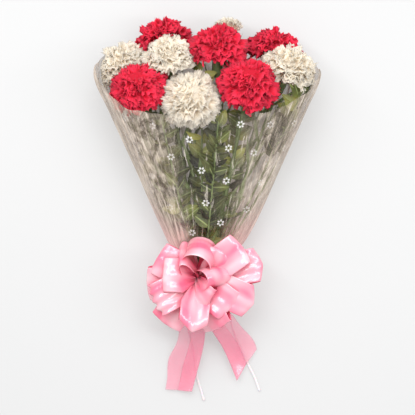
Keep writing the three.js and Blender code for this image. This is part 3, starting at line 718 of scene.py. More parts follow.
# a rod along a curve, with leaves set alternately on its upper part
sprigTree, given = newTree("sprig", {
    "Leaf": "Object", "Leaves": "Int", "From": "Float", "Width": "Float", "Spread": "Float", "Swell": "Float",
    "Seed": "Int", "Bark": "Material", "Blade": "Material"})
tree = sprigTree
seeds = given.outputs["Seed"]
share = addNode(tree, "GeometryNodeSplineParameter")
rodLength = share.outputs["Length"]
beat = addNode(tree, "ShaderNodeMath", {"operation": "MULTIPLY"},
               {0: rodLength, 1: math.pi * 1000 / stemPart["nodeEvery"]})
pulse = addNode(tree, "ShaderNodeMath", {"operation": "SINE"}, {0: beat})
narrow = addNode(tree, "ShaderNodeMath", {"operation": "POWER"}, {0: pulse, 1: 24.0})
swollen = addNode(tree, "ShaderNodeMath", {"operation": "MULTIPLY"}, {0: narrow, 1: given.outputs["Swell"]})
full = addNode(tree, "ShaderNodeMath", {"operation": "ADD"}, {0: swollen, 1: 1.0})
taper = addNode(tree, "ShaderNodeMapRange", links={0: share.outputs["Factor"], 3: 1.0, 4: 0.8})
radius = addNode(tree, "ShaderNodeMath", {"operation": "MULTIPLY"}, {0: full, 1: taper})
profile = addNode(tree, "GeometryNodeCurvePrimitiveCircle", {"mode": "RADIUS"},
                  {"Resolution": 10, "Radius": 0.5})
rodWidth = given.outputs["Width"]
widths = addNode(tree, "ShaderNodeCombineXYZ", links={0: rodWidth, 1: rodWidth, 2: rodWidth})
sizedProfile = addNode(tree, "GeometryNodeTransform", links={"Geometry": profile, "Scale": widths})
thick = addNode(tree, "GeometryNodeSetCurveRadius", links={"Curve": given.outputs[0], "Radius": radius})
rod = addNode(tree, "GeometryNodeCurveToMesh",
              links={"Curve": thick, "Profile Curve": sizedProfile, "Fill Caps": True})
if "Scale" in rod.inputs:
    tree.links.new(radius.outputs[0], rod.inputs["Scale"])
rodDone = addNode(tree, "GeometryNodeSetMaterial", links={"Geometry": rod, "Material": given.outputs["Bark"]})
trimmed = addNode(tree, "GeometryNodeTrimCurve", {"mode": "FACTOR"},
                  {"Curve": given.outputs[0], "Start": given.outputs["From"], "End": 0.995})
spots = addNode(tree, "GeometryNodeCurveToPoints", {"mode": "COUNT"},
                {"Curve": trimmed, "Count": given.outputs["Leaves"]})
alongRod = addNode(tree, "FunctionNodeAlignRotationToVector", {"axis": "Y"},
                   {"Vector": spots.outputs["Tangent"]})
upright = addNode(tree, "FunctionNodeAlignRotationToVector", {"axis": "Z", "pivot_axis": "Y"},
                  {"Rotation": alongRod, "Vector": (0, 0, 1)})
number = addNode(tree, "GeometryNodeInputIndex")
paired = addNode(tree, "ShaderNodeMath", {"operation": "MODULO"}, {0: number, 1: 2.0})
sideways = addNode(tree, "ShaderNodeMapRange", links={0: paired, 3: -1.0, 4: 1.0})
spread = addNode(tree, "ShaderNodeMath", {"operation": "MULTIPLY"}, {0: sideways, 1: given.outputs["Spread"]})
play = addNode(tree, "FunctionNodeRandomValue", {"data_type": "FLOAT_VECTOR"},
               {0: (-0.5, -0.7, -0.4), 1: (0.5, 0.7, 0.4), "Seed": seeds})
turnOnly = addNode(tree, "ShaderNodeCombineXYZ", links={0: 0.0, 1: 0.0, 2: spread})
angles = addNode(tree, "ShaderNodeVectorMath", {"operation": "ADD"}, {0: turnOnly, 1: play.outputs[0]})
byAngles = addNode(tree, "FunctionNodeEulerToRotation", links={0: angles})
leafPose = addNode(tree, "FunctionNodeRotateRotation", {"rotation_space": "LOCAL"}, {0: upright, 1: byAngles})
leafInfo = addNode(tree, "GeometryNodeObjectInfo", links={"Object": given.outputs["Leaf"]})
leafSize = addNode(tree, "FunctionNodeRandomValue", {"data_type": "FLOAT"}, {2: 0.75, 3: 1.1, "Seed": seeds})
blades = addNode(tree, "GeometryNodeInstanceOnPoints", links={
    "Points": spots, "Instance": leafInfo.outputs["Geometry"], "Rotation": leafPose,
    "Scale": leafSize.outputs[1]})
# each leaf's random tone, down to near black in the material, partly paints shade among the leaves
toneSeed = addNode(tree, "ShaderNodeMath", {"operation": "ADD"}, {0: seeds, 1: 5.0})
leafTone = addNode(tree, "FunctionNodeRandomValue", {"data_type": "FLOAT"},
                   {2: 0.0, 3: 1.0, "Seed": toneSeed})
blades = addNode(tree, "GeometryNodeStoreNamedAttribute", {"data_type": "FLOAT", "domain": "INSTANCE"},
                 {"Geometry": blades, "Name": "leafTone", "Value": leafTone.outputs[1]})
real = addNode(tree, "GeometryNodeRealizeInstances", links={0: blades})
bladesDone = addNode(tree, "GeometryNodeSetMaterial",
                     links={"Geometry": real, "Material": given.outputs["Blade"]})
together = addNode(tree, "GeometryNodeJoinGeometry", links={0: rodDone})
tree.links.new(bladesDone.outputs[0], together.inputs[0])
addNode(tree, "NodeGroupOutput", links={0: together})


def curveOf(points):
    curve = bpy.data.curves.new("line", "CURVE")
    curve.dimensions = "3D"
    spline = curve.splines.new("POLY")
    spline.points.add(len(points) - 1)
    for spot, point in zip(spline.points, points):
        spot.co = (*toFrame(point), 1)
    return curve


def calyxMesh(flower):
    # a ribbed tube that ends in five pointed teeth, with four short bracts at its foot
    profile = [(0, 0.36), (0.06, 0.55), (0.2, 0.85), (0.5, 0.98), (0.8, 0.9), (0.95, 0.97), (1.0, 1.05),
               (1.12, 1.2)]
    turned = flower["faces"].to_track_quat("Z", "Y")
    width = calyxPart["width"] * (0.96 if flower["width"] > 40 else 0.9)

    def place(u, v):
        key = v * 1.12
        tooth = 0.5 + 0.5 * math.cos(5 * 2 * math.pi * u)
        height = key if key < 0.9 else 0.9 + (key - 0.9) * (0.15 + 0.85 * tooth)
        ribs = 1 + 0.03 * math.cos(20 * math.pi * u)
        out = smoothly(profile, height) * width / 2 * ribs
        local = Vector((out * math.cos(2 * math.pi * u), out * math.sin(2 * math.pi * u),
                        height * calyxPart["length"]))
        return toFrame(flower["foot"] + turned @ local)
    tube = gridMesh("calyx", 22, 40, place, True)

    def bract(turnBy):
        def placeBract(u, v):
            side = (2 * u - 1) * (1 - v ** 2) * 0.62
            out = width / 2 * (0.50 + 0.50 * min(1, 1.6 * v)) + 0.5
            around = turnBy + side
            local = Vector((out * math.cos(around), out * math.sin(around),
                            (0.02 + 0.42 * v) * calyxPart["length"]))
            return toFrame(flower["foot"] + turned @ local)
        return gridMesh("bract", 8, 6, placeBract)
    return joinMeshes("calyx", [tube] + [bract(n * math.pi / 2 + 0.4) for n in range(4)])


narrowMesh = leafMesh("narrowLeaf", stemPart["leafLength"], stemPart["leafWidth"], 0.5, 0.12)
broadMesh = leafMesh("broadLeaf", leafPart["length"], leafPart["width"], 0.28, 0.10)
narrowLeaf = bpy.data.objects.new("narrowLeaf", narrowMesh)
broadLeaf = bpy.data.objects.new("broadLeaf", broadMesh)
for number, (name, flower) in enumerate(flowers.items()):
    tied = slotPoint(flower["slot"], 0)
    inCalyx = flower["foot"] + flower["faces"] * calyxPart["length"] * 0.2
    nearHead = flower["foot"] - flower["faces"] * 9 + Vector((0, -9, 0))
    line = smoothLine([slotPoint(flower["slot"], bundle["cutEnd"]), tied, tied.lerp(nearHead, 0.5), nearHead,
                       inCalyx], 60)
    mesh = runNodes(sprigTree, curveOf(line), {
        "Leaf": narrowLeaf, "Leaves": stemPart["leaves"], "From": 0.28, "Width": stemPart["width"] / 1000,
        "Spread": 0.32, "Swell": stemPart["swell"], "Seed": 50 + number, "Bark": stemSkin, "Blade": stemSkin})
    calyx = calyxMesh(flower)
    calyx.materials.append(stemSkin)
    mesh = joinMeshes("stem", [mesh, calyx])
    pressedIn(mesh)
    mesh.shade_smooth()
    makePiece("stem." + name, mesh, "stem", "stem_" + name)
print("stems done")

# from is the share of a sprig below its lowest leaf
sprigs = {
    "right": {"tip": (122, 208, 80), "slot": (2.2, 2), "from": 0.7},
    "right_front": {"tip": (104, 203, 93), "slot": (1.9, 3), "from": 0.7},
    "front_middle": {"tip": (12, 172, 88), "slot": (0.1, 2.55)},
    "left_front": {"tip": (-52, 180, 76), "slot": (-1.55, 2)},
    "middle": {"tip": (-6, 232, 62), "slot": (-0.5, 2)},
    "back_right": {"tip": (50, 238, 52), "slot": (1.6, 2)},
    "back_left": {"tip": (-92, 206, 26), "slot": (-2.1, 0)}}
for number, (name, sprig) in enumerate(sprigs.items()):
    tied, tip = slotPoint(sprig["slot"], 0), Vector(sprig["tip"])
    half = tied.lerp(tip, 0.5) + Vector((0, 0, 3))
    line = smoothLine([slotPoint(sprig["slot"], bundle["cutEnd"] + 14), tied, half, tip], 50)
    mesh = runNodes(sprigTree, curveOf(line), {
        "Leaf": broadLeaf, "Leaves": leafPart["perSprig"], "From": sprig.get("from", 0.34),
        "Width": leafPart["sprigWidth"] / 1000, "Spread": 0.95, "Swell": 0.1, "Seed": 80 + number,
        "Bark": stemSkin, "Blade": leafSkin})
    pressedIn(mesh)
    mesh.shade_smooth()
    makePiece("foliage." + name, mesh, "leaf", "foliage_" + name)
for leaf in (narrowLeaf, broadLeaf):
    bpy.data.objects.remove(leaf)
print("foliage done")

# rubber band
bandPart = {"width": 7, "wall": 1.2, "play": 2.85, "groove": 0.35, "colour": "#d9cdb4"}
bundleHalf = {"across": bundle["lastSlot"] * bundle["pitch"] + stemPart["width"] / 2 + bandPart["play"],
              "up": bundle["middleRow"] * bundle["rise"] + stemPart["width"] / 2 + bandPart["play"]}
# natural rubber, cut from a tube: matt and slightly see-through
bandRubber, tree, shader = newMaterial("natural rubber band", **{
    "Base Color": fromHex(bandPart["colour"]), "Roughness": 0.6, "Subsurface Weight": 0.1,
    "Subsurface Scale": 0.001})
coords = addNode(tree, "ShaderNodeTexCoord")
grain = addNode(tree, "ShaderNodeTexNoise",
                links={"Vector": coords.outputs["Object"], "Scale": 900.0, "Detail": 3.0})
bump = addNode(tree, "ShaderNodeBump", links={"Height": grain, "Strength": 0.3, "Distance": 0.0002})
tree.links.new(bump.outputs[0], shader.inputs["Normal"])


def boxyPoint(turn, across, up, power=0.8):
    c, s = math.cos(turn), math.sin(turn)
    return math.copysign(abs(c) ** power, c) * across, math.copysign(abs(s) ** power, s) * up


def bandPlace(u, v):
    turn, around = 2 * math.pi * u, 2 * math.pi * v
    strand = abs(math.cos(around)) ** 0.5
    out = bandPart["wall"] / 2 * (1 + strand * math.copysign(1, math.cos(around)))
    along = bandPart["width"] / 2 * math.sin(around)
    out -= bandPart["groove"] * math.exp(-(along / 0.5) ** 2) * (math.cos(around) > 0)  # between turns
    x, z = boxyPoint(turn, bundleHalf["across"] + out, bundleHalf["up"] + out)
    return toFrame((layout["tieX"] + x, along, layout["tieHeight"] + z))


def torusMesh(name, columns, rows, place):
    mesh = bpy.data.meshes.new(name)
    points = [place(c / columns, r / rows) for r in range(rows) for c in range(columns)]
    faces = [(r * columns + c, r * columns + (c + 1) % columns, (r + 1) % rows * columns + (c + 1) % columns,
              (r + 1) % rows * columns + c) for r in range(rows) for c in range(columns)]
    mesh.from_pydata(points, [], faces)
    mesh.shade_smooth()
    return mesh


mesh = torusMesh("band", 96, 20, bandPlace)
mesh.materials.append(bandRubber)
makePiece("stemBand", mesh, "band", "stem_band")
print("band done")


# printed film
def filmPoint(turn, share):
    degrees = math.degrees(turn) % 360
    scallop = 1.2 * math.sin(9 * turn + 1) + 0.6 * math.sin(23 * turn)
    y = film["skirt"] + (smoothly(sleeveEdge, degrees) + scallop - film["skirt"]) * share
    half, low, high = smoothly(sleeveHalfWidth, y), smoothly(sleeveBottom, y), smoothly(sleeveTop, y)
    spreadOut = smoothstep(0, 230, y)
    depth = lerp(0.9, film["pleatDepth"], spreadOut)
    fold = sum(size * math.cos(count * turn + shift + 0.004 * y) for count, shift, size in film["pleats"])
    inset = 0.5 + depth * (0.5 + 0.28 * fold) * 0.5
    c, s = math.cos(turn), math.sin(turn)
    x = smoothly(sleeveMiddle, y) + (half - inset) * math.copysign(abs(c) ** 0.8, c)
    rise = math.copysign(abs(s) ** 0.8, s)
    middle = (low + high) / 2
    below = smoothly(sleeveFlat, y) * rise * (middle - low - inset)
    z = middle + (rise * (high - middle - inset) if rise > 0 else below)
    return Vector((x, y, max(low + 0.15 + 0.12 * inset, z)))


filmMesh = gridMesh("film", film["rows"], film["columns"],
                    lambda u, v: toFrame(filmPoint(2 * math.pi * u, v ** 0.92)), True)
# cast polypropylene film, 40 microns: clear and glossy, crumpled along the pleats; the front panel is the
# clearest, and the gathered sides and back are hazy and warm grey, with darker lines of painted shade in the
# crinkles and a painted pink reflection of the bow near the tie
clearFilm, tree, shader = newMaterial("clear polypropylene film", **{
    "Roughness": 0.6, "IOR": 1.49, "Specular IOR Level": 0.1})
along = addNode(tree, "ShaderNodeUVMap", {"uv_map": "along"})
stretched = addNode(tree, "ShaderNodeMapping", links={"Vector": along, "Scale": (150.0, 6.5, 1.0)})
streaks = addNode(tree, "ShaderNodeTexNoise", links={
    "Vector": stretched, "Scale": 1.0, "Detail": 4.0, "Roughness": 0.6, "Distortion": 0.5})
crumpled = addNode(tree, "ShaderNodeMapping", links={"Vector": along, "Scale": (34.0, 9.0, 1.0)})
crumples = addNode(tree, "ShaderNodeTexNoise", links={
    "Vector": crumpled, "Scale": 1.0, "Detail": 4.0, "Roughness": 0.65, "Distortion": 1.5})
# the crumple pattern's low end paints darker lines of shade in the crinkles, eased to plain haze where the film is
# seen side-on
ramp = addNode(tree, "ShaderNodeValToRGB", links={0: crumples})
ramp.color_ramp.elements[0].position, ramp.color_ramp.elements[0].color = 0.40, fromHex(film["shade"])
ramp.color_ramp.elements[1].position, ramp.color_ramp.elements[1].color = 0.60, fromHex(film["haze"])
split = addNode(tree, "ShaderNodeSeparateXYZ", links={0: along})
# near the tie, on both flanks, the film is tinted pink and made hazier: a painted reflection of the pink bow
nearTie = addNode(tree, "ShaderNodeMapRange", links={0: split.outputs[1], 1: 0.26, 2: 0.48, 3: 1.0, 4: 0.0})
pastFront = addNode(tree, "ShaderNodeMath", {"operation": "SUBTRACT"}, {0: split.outputs[0], 1: 0.25})
leftHand = addNode(tree, "ShaderNodeMapRange", links={0: pastFront, 1: 0.0, 2: 0.04, 3: 0.0, 4: 1.0})
fromFront = addNode(tree, "ShaderNodeMath", {"operation": "ABSOLUTE"}, {0: pastFront})
flank = addNode(tree, "ShaderNodeMapRange", links={0: fromFront, 1: 0.035, 2: 0.095, 3: 0.0, 4: 1.0})
sideOn = addNode(tree, "ShaderNodeMapRange", links={0: fromFront, 1: 0.10, 2: 0.24, 3: 0.0, 4: 1.0})
flankNear = addNode(tree, "ShaderNodeMapRange", links={0: fromFront, 1: 0.02, 2: 0.06, 3: 0.0, 4: 1.0})
paintedPinkReflection = addNode(tree, "ShaderNodeMath", {"operation": "MULTIPLY"}, {0: nearTie, 1: flankNear})
edgePale = addNode(tree, "ShaderNodeMath", {"operation": "MULTIPLY"}, {0: sideOn, 1: 0.6})
hazeNow = addNode(tree, "ShaderNodeMix", {"data_type": "RGBA"},
                  {0: edgePale, 6: ramp, 7: fromHex(film["haze"])})
tint = addNode(tree, "ShaderNodeMix", {"data_type": "RGBA"},
               {0: paintedPinkReflection, 6: hazeNow.outputs[2], 7: fromHex(film["pinkReflection"])})
tree.links.new(tint.outputs[2], shader.inputs["Base Color"])
contrast = addNode(tree, "ShaderNodeMapRange", links={0: streaks, 1: 0.42, 2: 0.64, 3: 0.0, 4: 1.0})
streakMost = addNode(tree, "ShaderNodeMath", {"operation": "MULTIPLY_ADD"}, {0: sideOn, 1: 0.10, 2: 0.05})
streakMost = addNode(tree, "ShaderNodeMath", {"operation": "MULTIPLY_ADD"},
                     {0: flank, 1: 0.32, 2: streakMost})
amount = addNode(tree, "ShaderNodeMath", {"operation": "MULTIPLY"}, {0: contrast, 1: streakMost})
flankMost = addNode(tree, "ShaderNodeMath", {"operation": "MULTIPLY_ADD"}, {0: leftHand, 1: 0.16, 2: 0.18})
amount = addNode(tree, "ShaderNodeMath", {"operation": "MULTIPLY_ADD"}, {0: flank, 1: flankMost, 2: amount})
amount = addNode(tree, "ShaderNodeMath", {"operation": "MULTIPLY_ADD"}, {0: sideOn, 1: 0.12, 2: amount})
amount = addNode(tree, "ShaderNodeMath", {"operation": "MULTIPLY_ADD", "use_clamp": True},
                 {0: paintedPinkReflection, 1: 0.36, 2: amount})
clear = addNode(tree, "ShaderNodeBsdfTransparent")
body = addNode(tree, "ShaderNodeMixShader", links={0: amount, 1: clear, 2: shader})
relief = addNode(tree, "ShaderNodeMath", {"operation": "ADD"}, {0: streaks, 1: crumples})
bump = addNode(tree, "ShaderNodeBump", links={"Height": relief, "Strength": 0.4, "Distance": 0.003})
gloss = addNode(tree, "ShaderNodeBsdfGlossy",
                links={"Color": fromHex("#fff4e6"), "Roughness": 0.12, "Normal": bump})
fresnel = addNode(tree, "ShaderNodeFresnel", links={"IOR": 1.49, "Normal": bump})
crest = addNode(tree, "ShaderNodeMapRange", links={0: streaks, 1: 0.60, 2: 0.68, 3: 0.0, 4: 0.6})
glossLeast = addNode(tree, "ShaderNodeMath", {"operation": "MINIMUM"}, {0: fresnel, 1: 0.03})
glossAmount = addNode(tree, "ShaderNodeMath", {"operation": "ADD"}, {0: glossLeast, 1: crest})
mix = addNode(tree, "ShaderNodeMixShader", links={0: glossAmount, 1: body, 2: gloss})
tree.links.new(mix.outputs[0], tree.nodes["Material Output"].inputs["Surface"])
filmMesh.materials.append(clearFilm)
filmArea = sum(face.area for face in filmMesh.polygons)
filmPiece = makePiece("filmSleeve", filmMesh, "film", "film_sleeve")

# the print: little six-petalled flowers with an open middle, scattered evenly over the film, in
# thin white ink, flexo printed: half see-through, and a little patchy
inkWhite, tree, shader = newMaterial("white flexo ink", **{
    "Base Color": fromHex(film["print"]), "Roughness": 0.35, "IOR": 1.5, "Alpha": film["inkAlpha"]})
coords = addNode(tree, "ShaderNodeTexCoord")
patches = addNode(tree, "ShaderNodeTexNoise", links={"Vector": coords.outputs["Object"], "Scale": 700.0})
density = addNode(tree, "ShaderNodeMapRange", links={0: patches, 1: 0.3, 2: 0.6, 3: 0.9, 4: 1.0})
shade = addNode(tree, "ShaderNodeMix", {"data_type": "RGBA"},
                {0: density, 6: fromHex(film["printShade"]), 7: fromHex(film["print"])})
tree.links.new(shade.outputs[2], shader.inputs["Base Color"])
flowerPrint = bpy.data.meshes.new("flowerPrint")
corners, faces = [], []
size = film["flowerSize"] / 1000
for n in range(6):
    a = n * math.pi / 3
    middle = Vector((math.cos(a), math.sin(a), 0)) * size * 0.34
    start = len(corners)
    for k in range(8):
        b = k * math.pi / 4
        local = Vector((math.cos(b) * size * 0.17, math.sin(b) * size * 0.135, 0))
        corners.append(middle + Matrix.Rotation(a, 3, "Z") @ local)
    faces.append(tuple(range(start, start + 8)))
flowerPrint.from_pydata(corners, [], faces)
printFlower = bpy.data.objects.new("printFlower", flowerPrint)
printTree, given = newTree("filmPrint", {
    "Flower": "Object", "Gap": "Float", "Seed": "Int", "Ink": "Material"})
tree = printTree
scatter = addNode(tree, "GeometryNodeDistributePointsOnFaces", {"distribute_method": "POISSON"}, {
    "Mesh": given.outputs[0], "Distance Min": given.outputs["Gap"], "Density Max": 4000.0,
    "Seed": given.outputs["Seed"]})
flowerInfo = addNode(tree, "GeometryNodeObjectInfo", links={"Object": given.outputs["Flower"]})
printed = addNode(tree, "GeometryNodeInstanceOnPoints", links={
    "Points": scatter, "Instance": flowerInfo.outputs["Geometry"], "Rotation": scatter.outputs["Rotation"]})
real = addNode(tree, "GeometryNodeRealizeInstances", links={0: printed})
fine = addNode(tree, "GeometryNodeSubdivideMesh", links={"Mesh": real, "Level": 1})
nearest = addNode(tree, "GeometryNodeProximity", {"target_element": "FACES"}, {0: given.outputs[0]})
onFilm = addNode(tree, "GeometryNodeSetPosition", links={"Geometry": fine, "Position": nearest.outputs[0]})
normal = addNode(tree, "GeometryNodeInputNormal")
proud = addNode(tree, "ShaderNodeVectorMath", {"operation": "SCALE"}, {0: normal, "Scale": 0.00012})
raised = addNode(tree, "GeometryNodeSetPosition", links={"Geometry": onFilm, "Offset": proud})
inked = addNode(tree, "GeometryNodeSetMaterial", links={"Geometry": raised, "Material": given.outputs["Ink"]})
addNode(tree, "NodeGroupOutput", links={0: inked})
mesh = runNodes(printTree, filmMesh.copy(),
                {"Flower": printFlower, "Gap": film["flowerGap"] / 1000, "Seed": 5, "Ink": inkWhite})
bpy.data.objects.remove(printFlower)
printPiece = makePiece("filmPrint", mesh, "film")
print("film done, %.3f square metres" % filmArea)

# bow
ringPart = {"width": 6, "wall": 1.2, "gap": 0.4, "y": -7}  # the string round the waist, under the bow
# the back colours, on the inner side of each loop, are a deeper pink that paints the shade inside the loops
ribbon = {
    "width": 38, "thickness": 0.25, "pleats": 3, "knotLift": 6, "rows": 44, "columns": 30,
    "face": ("#fb7c9d", "#ffdce4"), "back": ("#f95f85", "#fd829f"), "ends": ("#f37c9e", "#fa93ae"),
    "endsAlpha": 0.32}
knotFoot = waist["high"] + ringPart["gap"] + ringPart["wall"] + ringPart["gap"]
knot = Vector((-11, -2, knotFoot + ribbon["knotLift"]))
# directions in degrees, sizes in mm; flutes are folds along the end, point is how far its middle leads
loops = [
    {"towards": 86, "lift": 42, "roll": 80, "reach": 52, "open": 32, "width": 31},
    {"towards": 122, "lift": 36, "roll": 72, "reach": 44, "open": 13},
    {"towards": 152, "lift": 24, "roll": 0, "reach": 56, "open": 16},
    {"towards": 172, "lift": 40, "roll": 10, "reach": 50, "open": 18},
    {"towards": 186, "lift": 13, "roll": -9, "reach": 59, "open": 18},
    {"towards": 207, "lift": 25, "roll": 0, "reach": 60, "open": 20, "flutes": 4},
    {"towards": 234, "lift": 9, "roll": 0, "reach": 64, "open": 12},
    {"towards": 264, "lift": 34, "roll": -4, "reach": 64, "open": 16, "point": 9, "width": 33},
    {"towards": 298, "lift": 50, "roll": 20, "reach": 40, "open": 17, "width": 27},
    {"towards": 8, "lift": 50, "roll": -82, "reach": 42, "open": 22},
    {"towards": 36, "lift": 24, "roll": 0, "reach": 67, "open": 17},
    {"towards": 50, "lift": 34, "roll": 30, "reach": 50, "open": 14, "width": 26},
    {"towards": 13, "lift": 12, "roll": -10, "reach": 74, "open": 14, "point": 4},
    {"towards": 336, "lift": 18, "roll": 0, "reach": 69, "open": 16, "point": 5},
    {"towards": 320, "lift": 24, "roll": 12, "reach": 54, "open": 15},
    {"towards": 293, "lift": 9, "roll": 22, "reach": 62, "open": 12}]


def ribbonMaterial(name, colours, gloss, alpha):
    # polypropylene ribbon: a satin face and a duller back whose deeper pink paints the shade inside the loops, fine
    # draw lines, and thin enough to glow
    material, tree, shader = newMaterial(name, **{
        "Roughness": 0.26, "IOR": 1.49, "Specular IOR Level": gloss, "Coat Weight": gloss,
        "Coat Roughness": 0.13, "Alpha": alpha})
    along = addNode(tree, "ShaderNodeUVMap", {"uv_map": "along"})
    stretched = addNode(tree, "ShaderNodeMapping", links={"Vector": along, "Scale": (2.2, 3.0, 1.0)})
    cloud = addNode(tree, "ShaderNodeTexNoise", links={"Vector": stretched, "Scale": 1.0, "Detail": 1.0})
    # the cloud of tones is partly random tone and, at its pale end near white on the face, painted highlight
    ramp = addNode(tree, "ShaderNodeValToRGB", links={0: cloud})
    ramp.color_ramp.elements[0].position, ramp.color_ramp.elements[0].color = 0.35, fromHex(colours[0])
    ramp.color_ramp.elements[1].position, ramp.color_ramp.elements[1].color = 0.75, fromHex(colours[1])
    tree.links.new(ramp.outputs[0], shader.inputs["Base Color"])
    drawn = addNode(tree, "ShaderNodeMapping", links={"Vector": along, "Scale": (90.0, 1.0, 1.0)})
    lines = addNode(tree, "ShaderNodeTexNoise", links={"Vector": drawn, "Scale": 1.0, "Detail": 1.0})
    bump = addNode(tree, "ShaderNodeBump", links={"Height": lines, "Strength": 0.15, "Distance": 0.0003})
    tree.links.new(bump.outputs[0], shader.inputs["Normal"])
    if alpha == 1:
        glow = addNode(tree, "ShaderNodeBsdfTranslucent", links={"Color": ramp})
        mix = addNode(tree, "ShaderNodeMixShader", links={0: 0.25, 1: shader, 2: glow})
        tree.links.new(mix.outputs[0], tree.nodes["Material Output"].inputs["Surface"])
    return material


ribbonFace = ribbonMaterial("ribbon satin face", ribbon["face"], 1.0, 1)
ribbonShadedBack = ribbonMaterial("ribbon matt back with painted shade", ribbon["back"], 0.4, 1)
ribbonEnds = ribbonMaterial("single layer of satin ribbon", ribbon["ends"], 1.0, ribbon["endsAlpha"])


def loopMesh(loop, number):
    dice = random.Random(7 + number)
    a, e, r = (math.radians(loop[key]) for key in ("towards", "lift", "roll"))
    out = Vector((math.cos(a) * math.cos(e), math.sin(a) * math.cos(e), math.sin(e)))
    side = Matrix.Rotation(r, 3, out) @ Vector((-math.sin(a), math.cos(a), 0))
    up = out.cross(side)
    twist, phase = dice.uniform(-0.22, 0.22), dice.uniform(0, 6.3)
    wide, flutes, point = loop.get("width", ribbon["width"]), loop.get("flutes", 0), loop.get("point", 0)

    def place(u, v):
        q = 2 * u - 1
        swing = (v - 0.5) * math.pi * 1.9
        away = 0.5 + 0.5 * math.cos(swing)
        width = 0.2 + 0.8 * min(1, away * 1.7)
        along = loop["reach"] * away + (point * (0.6 - abs(q)) - 2.5 * q * q) * away ** 3
        spread = loop["open"] / 2 * math.sin(swing) * max(0, math.cos(swing / 2)) ** 0.6 * 1.25
        gathered = (1 - smoothstep(0.1, 0.75, away)) + 0.12
        fold = math.cos(ribbon["pleats"] * math.pi * u * 2 + phase)
        spread += gathered * 1.8 * fold * min(1, away * 6) + 1.2 * math.sin(2.4 * q + phase) * away
        along += gathered * 1.2 * fold + 1.5 * math.cos(flutes * 2 * math.pi * u) * away * (flutes > 0)
        lean = side + up * twist * away
        return toFrame(knot + out * along + up * spread + lean * q * wide / 2 * width)
    return gridMesh("loop", ribbon["rows"], ribbon["columns"], place, shift=number * 1.37)


bowMesh = joinMeshes("bow", [loopMesh(loop, n) for n, loop in enumerate(loops)])
bowMesh.materials.append(ribbonFace)
bowMesh.materials.append(ribbonShadedBack)
bowMesh.shade_smooth()
bowArea = sum(face.area for face in bowMesh.polygons)
bow = makePiece("pullBow", bowMesh, "ribbon", "bow", thickness=ribbon["thickness"])
# the offset side, inside the loops, takes the back with its painted shade
bow.modifiers["wall"].material_offset = 1
print("bow done, %.4f square metres" % bowArea)


# the string where it goes round the sleeve
def ringPlace(u, v):
    turn, around = 2 * math.pi * u, 2 * math.pi * v
    out = ringPart["gap"] + ringPart["wall"] / 2 * (1 + math.copysign(abs(math.cos(around)) ** 0.4,
                                                                      math.cos(around)))
    along = ringPart["width"] / 2 * math.copysign(abs(math.sin(around)) ** 0.6, math.sin(around))
    x, z = boxyPoint(turn, waist["across"] + out, waist["up"] + out)
    return toFrame((layout["tieX"] + x, ringPart["y"] + along, layout["tieHeight"] + z))


mesh = torusMesh("ring", 96, 16, ringPlace)
mesh.materials.append(stringPlastic)
makePiece("pullStringRing", mesh, "pull_string", "pull_string_ring")
print("ring done")

# ribbon tails: the ribbon's two ends, each folded along its length
# route is where a tail's middle runs: x, y, and its height as a share of the ring's top
tails = {
    "left": {"length": 132, "slant": 0.05, "route": (
        (-17, -14, 1.015), (-17, -38, 0.975), (-17, -62, 0.73), (-20, -84, 0.36), (-26, -108, 0.235),
        (-34, -138, 0.22))},
    "right": {"length": 122, "slant": 0.2, "route": (
        (-4, -14, 1.015), (6, -38, 0.975), (19, -58, 0.73), (31, -78, 0.36), (40, -98, 0.235),
        (48, -118, 0.22))}}
# lower and upper are the widths of the two layers, and ridge is about how far the open edge falls below
# the fold
tailPart = {"lower": 31, "upper": 17, "ridge": 7, "ringTop": 36.95, "lift": 1.6, "bulge": 0.3,
            "steps": 60, "across": 36}


def tailMesh(tail, inner):
    # inner is the side of the fold: 1 towards +X, -1 towards -X
    line = smoothLine([(x, y, z * tailPart["ringTop"]) for x, y, z in tail["route"]],
                      tailPart["steps"] + 1)
    turnAt = tailPart["lower"] / (tailPart["lower"] + tailPart["upper"])

    def place(u, v):
        over = smoothstep(turnAt - 0.04, turnAt + 0.04, u)
        side = lerp(u / turnAt - 0.5, 0.5 - (u - turnAt) / turnAt, over)
        side = min(side, 0.5 - 0.03 * math.exp(-((u - turnAt) / 0.03) ** 2))
        share = v * (1 - tail["slant"] * (0.5 + side * inner))
        side -= tailPart["bulge"] * math.exp(-((share - 0.74) / 0.14) ** 2) * max(0, 0.1 - side)
        n = min(tailPart["steps"] - 1, int(share * tailPart["steps"]))
        middle = line[n].lerp(line[n + 1], share * tailPart["steps"] - n)
        ahead = (line[n + 1] - line[n]).normalized()
        across = Vector((-ahead.y, ahead.x, 0)).normalized() * inner
        spread = 0.35 + 0.65 * min(1, share * 2.6)
        settled = smoothstep(0.35, 0.8, share)
        drop = tailPart["ridge"] * settled * (0.5 - side) * 0.8
        ripple = 0.8 * math.sin(9 * side + 5 * share) * (0.4 + settled)
        ripple += 0.6 * math.sin(11 * share + 3 * side)
        rise = over * tailPart["lift"] * (1 + 0.5 * math.sin(7 * share))
        height = Vector((0, 0, ripple - drop + rise + 0.8))
        return toFrame(middle + across * side * tailPart["lower"] * spread + height)
    return gridMesh("tail", tailPart["steps"], tailPart["across"], place)


for side, tail in tails.items():
    mesh = tailMesh(tail, 1 if side == "left" else -1)
    mesh.materials.append(ribbonEnds)
    piece = makePiece("ribbonTail." + side, mesh, "ribbon", "ribbon_tail_" + side,
                      thickness=ribbon["thickness"])
    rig.sheet(piece, flat=(0.048, tail["length"] / 1000), held="laid", rests_on=["film_sleeve"])
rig.sheet(bow, flat=(0.038, 1.7), held="gathered", rests_on=["pull_string_ring"])
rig.sheet(filmPiece, flat=(0.62, 0.30), area=0.1, held="gathered", rests_on=["stem_band"],
         with_pieces=[printPiece])
print("tails done")

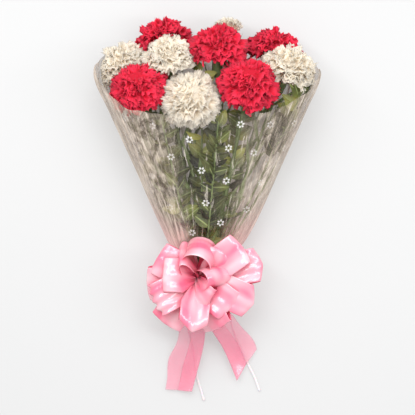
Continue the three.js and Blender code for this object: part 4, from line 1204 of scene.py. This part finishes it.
# floor, light and colour handling
studio = {"floor": "#9d9e9f", "floorGlow": "#fffdfb", "glow": 0.34, "floorSize": 6, "floorDrop": 0.0005,
          "world": "#ffffff", "worldStrength": 0.85, "aim": (0, 0, 0.05)}
floorMesh = gridMesh("floor", 2, 2, lambda u, v: Vector((
    (u - 0.5) * studio["floorSize"], (v - 0.5) * studio["floorSize"], -studio["floorDrop"])))
floor = bpy.data.objects.new("floor", floorMesh)
bpy.context.scene.collection.objects.link(floor)
# opal board lit from below, as on a light table, which keeps the shadows faint
board, tree, shader = newMaterial("opal light-table board", **{
    "Base Color": fromHex(studio["floor"]), "Roughness": 0.8,
    "Emission Color": fromHex(studio["floorGlow"]), "Emission Strength": studio["glow"]})
coords = addNode(tree, "ShaderNodeTexCoord")
grain = addNode(tree, "ShaderNodeTexNoise", links={"Vector": coords.outputs["Object"], "Scale": 400.0})
bump = addNode(tree, "ShaderNodeBump", links={"Height": grain, "Strength": 0.05, "Distance": 0.0005})
tree.links.new(bump.outputs[0], shader.inputs["Normal"])
floorMesh.materials.append(board)
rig.stage(floor)

world = bpy.data.worlds.new("studio")
bpy.context.scene.world = world
world.use_nodes = True
world.node_tree.nodes.clear()
sky = addNode(world.node_tree, "ShaderNodeBackground",
              links={"Color": fromHex(studio["world"]), "Strength": studio["worldStrength"]})
addNode(world.node_tree, "ShaderNodeOutputWorld", links={"Surface": sky})
# three long strip lights for crisp streaks on the satin, and a broad soft box beyond the flowers;
# places and sizes in metres
lamps = {"stripLeft": {"at": (-0.45, 0.35, 1.0), "size": (0.16, 0.9), "power": 4.0},
         "stripRight": {"at": (0.6, 0.05, 0.9), "size": (0.16, 0.8), "power": 3.0},
         "overhead": {"at": (0.08, 0.34, 1.4), "size": (1.1, 0.12), "power": 4.5},
         "softBox": {"at": (0.0, 0.9, 1.2), "size": (0.9, 0.6), "power": 8.0}}
for name, box in lamps.items():
    light = bpy.data.lights.new(name, "AREA")
    light.shape, light.energy = "RECTANGLE", box["power"]
    light.size, light.size_y = box["size"]
    lamp = bpy.data.objects.new(name, light)
    lamp.location = box["at"]
    lamp.rotation_euler = (Vector(studio["aim"]) - lamp.location).to_track_quat("-Z", "Y").to_euler()
    bpy.context.scene.collection.objects.link(lamp)
bpy.context.scene.view_settings.view_transform = "Standard"
print("studio done")

shownBox = [list(corner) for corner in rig.bounds()]
with open("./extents.json", "w") as out:
    json.dump({"cad": cadBox, "visual": shownBox}, out)
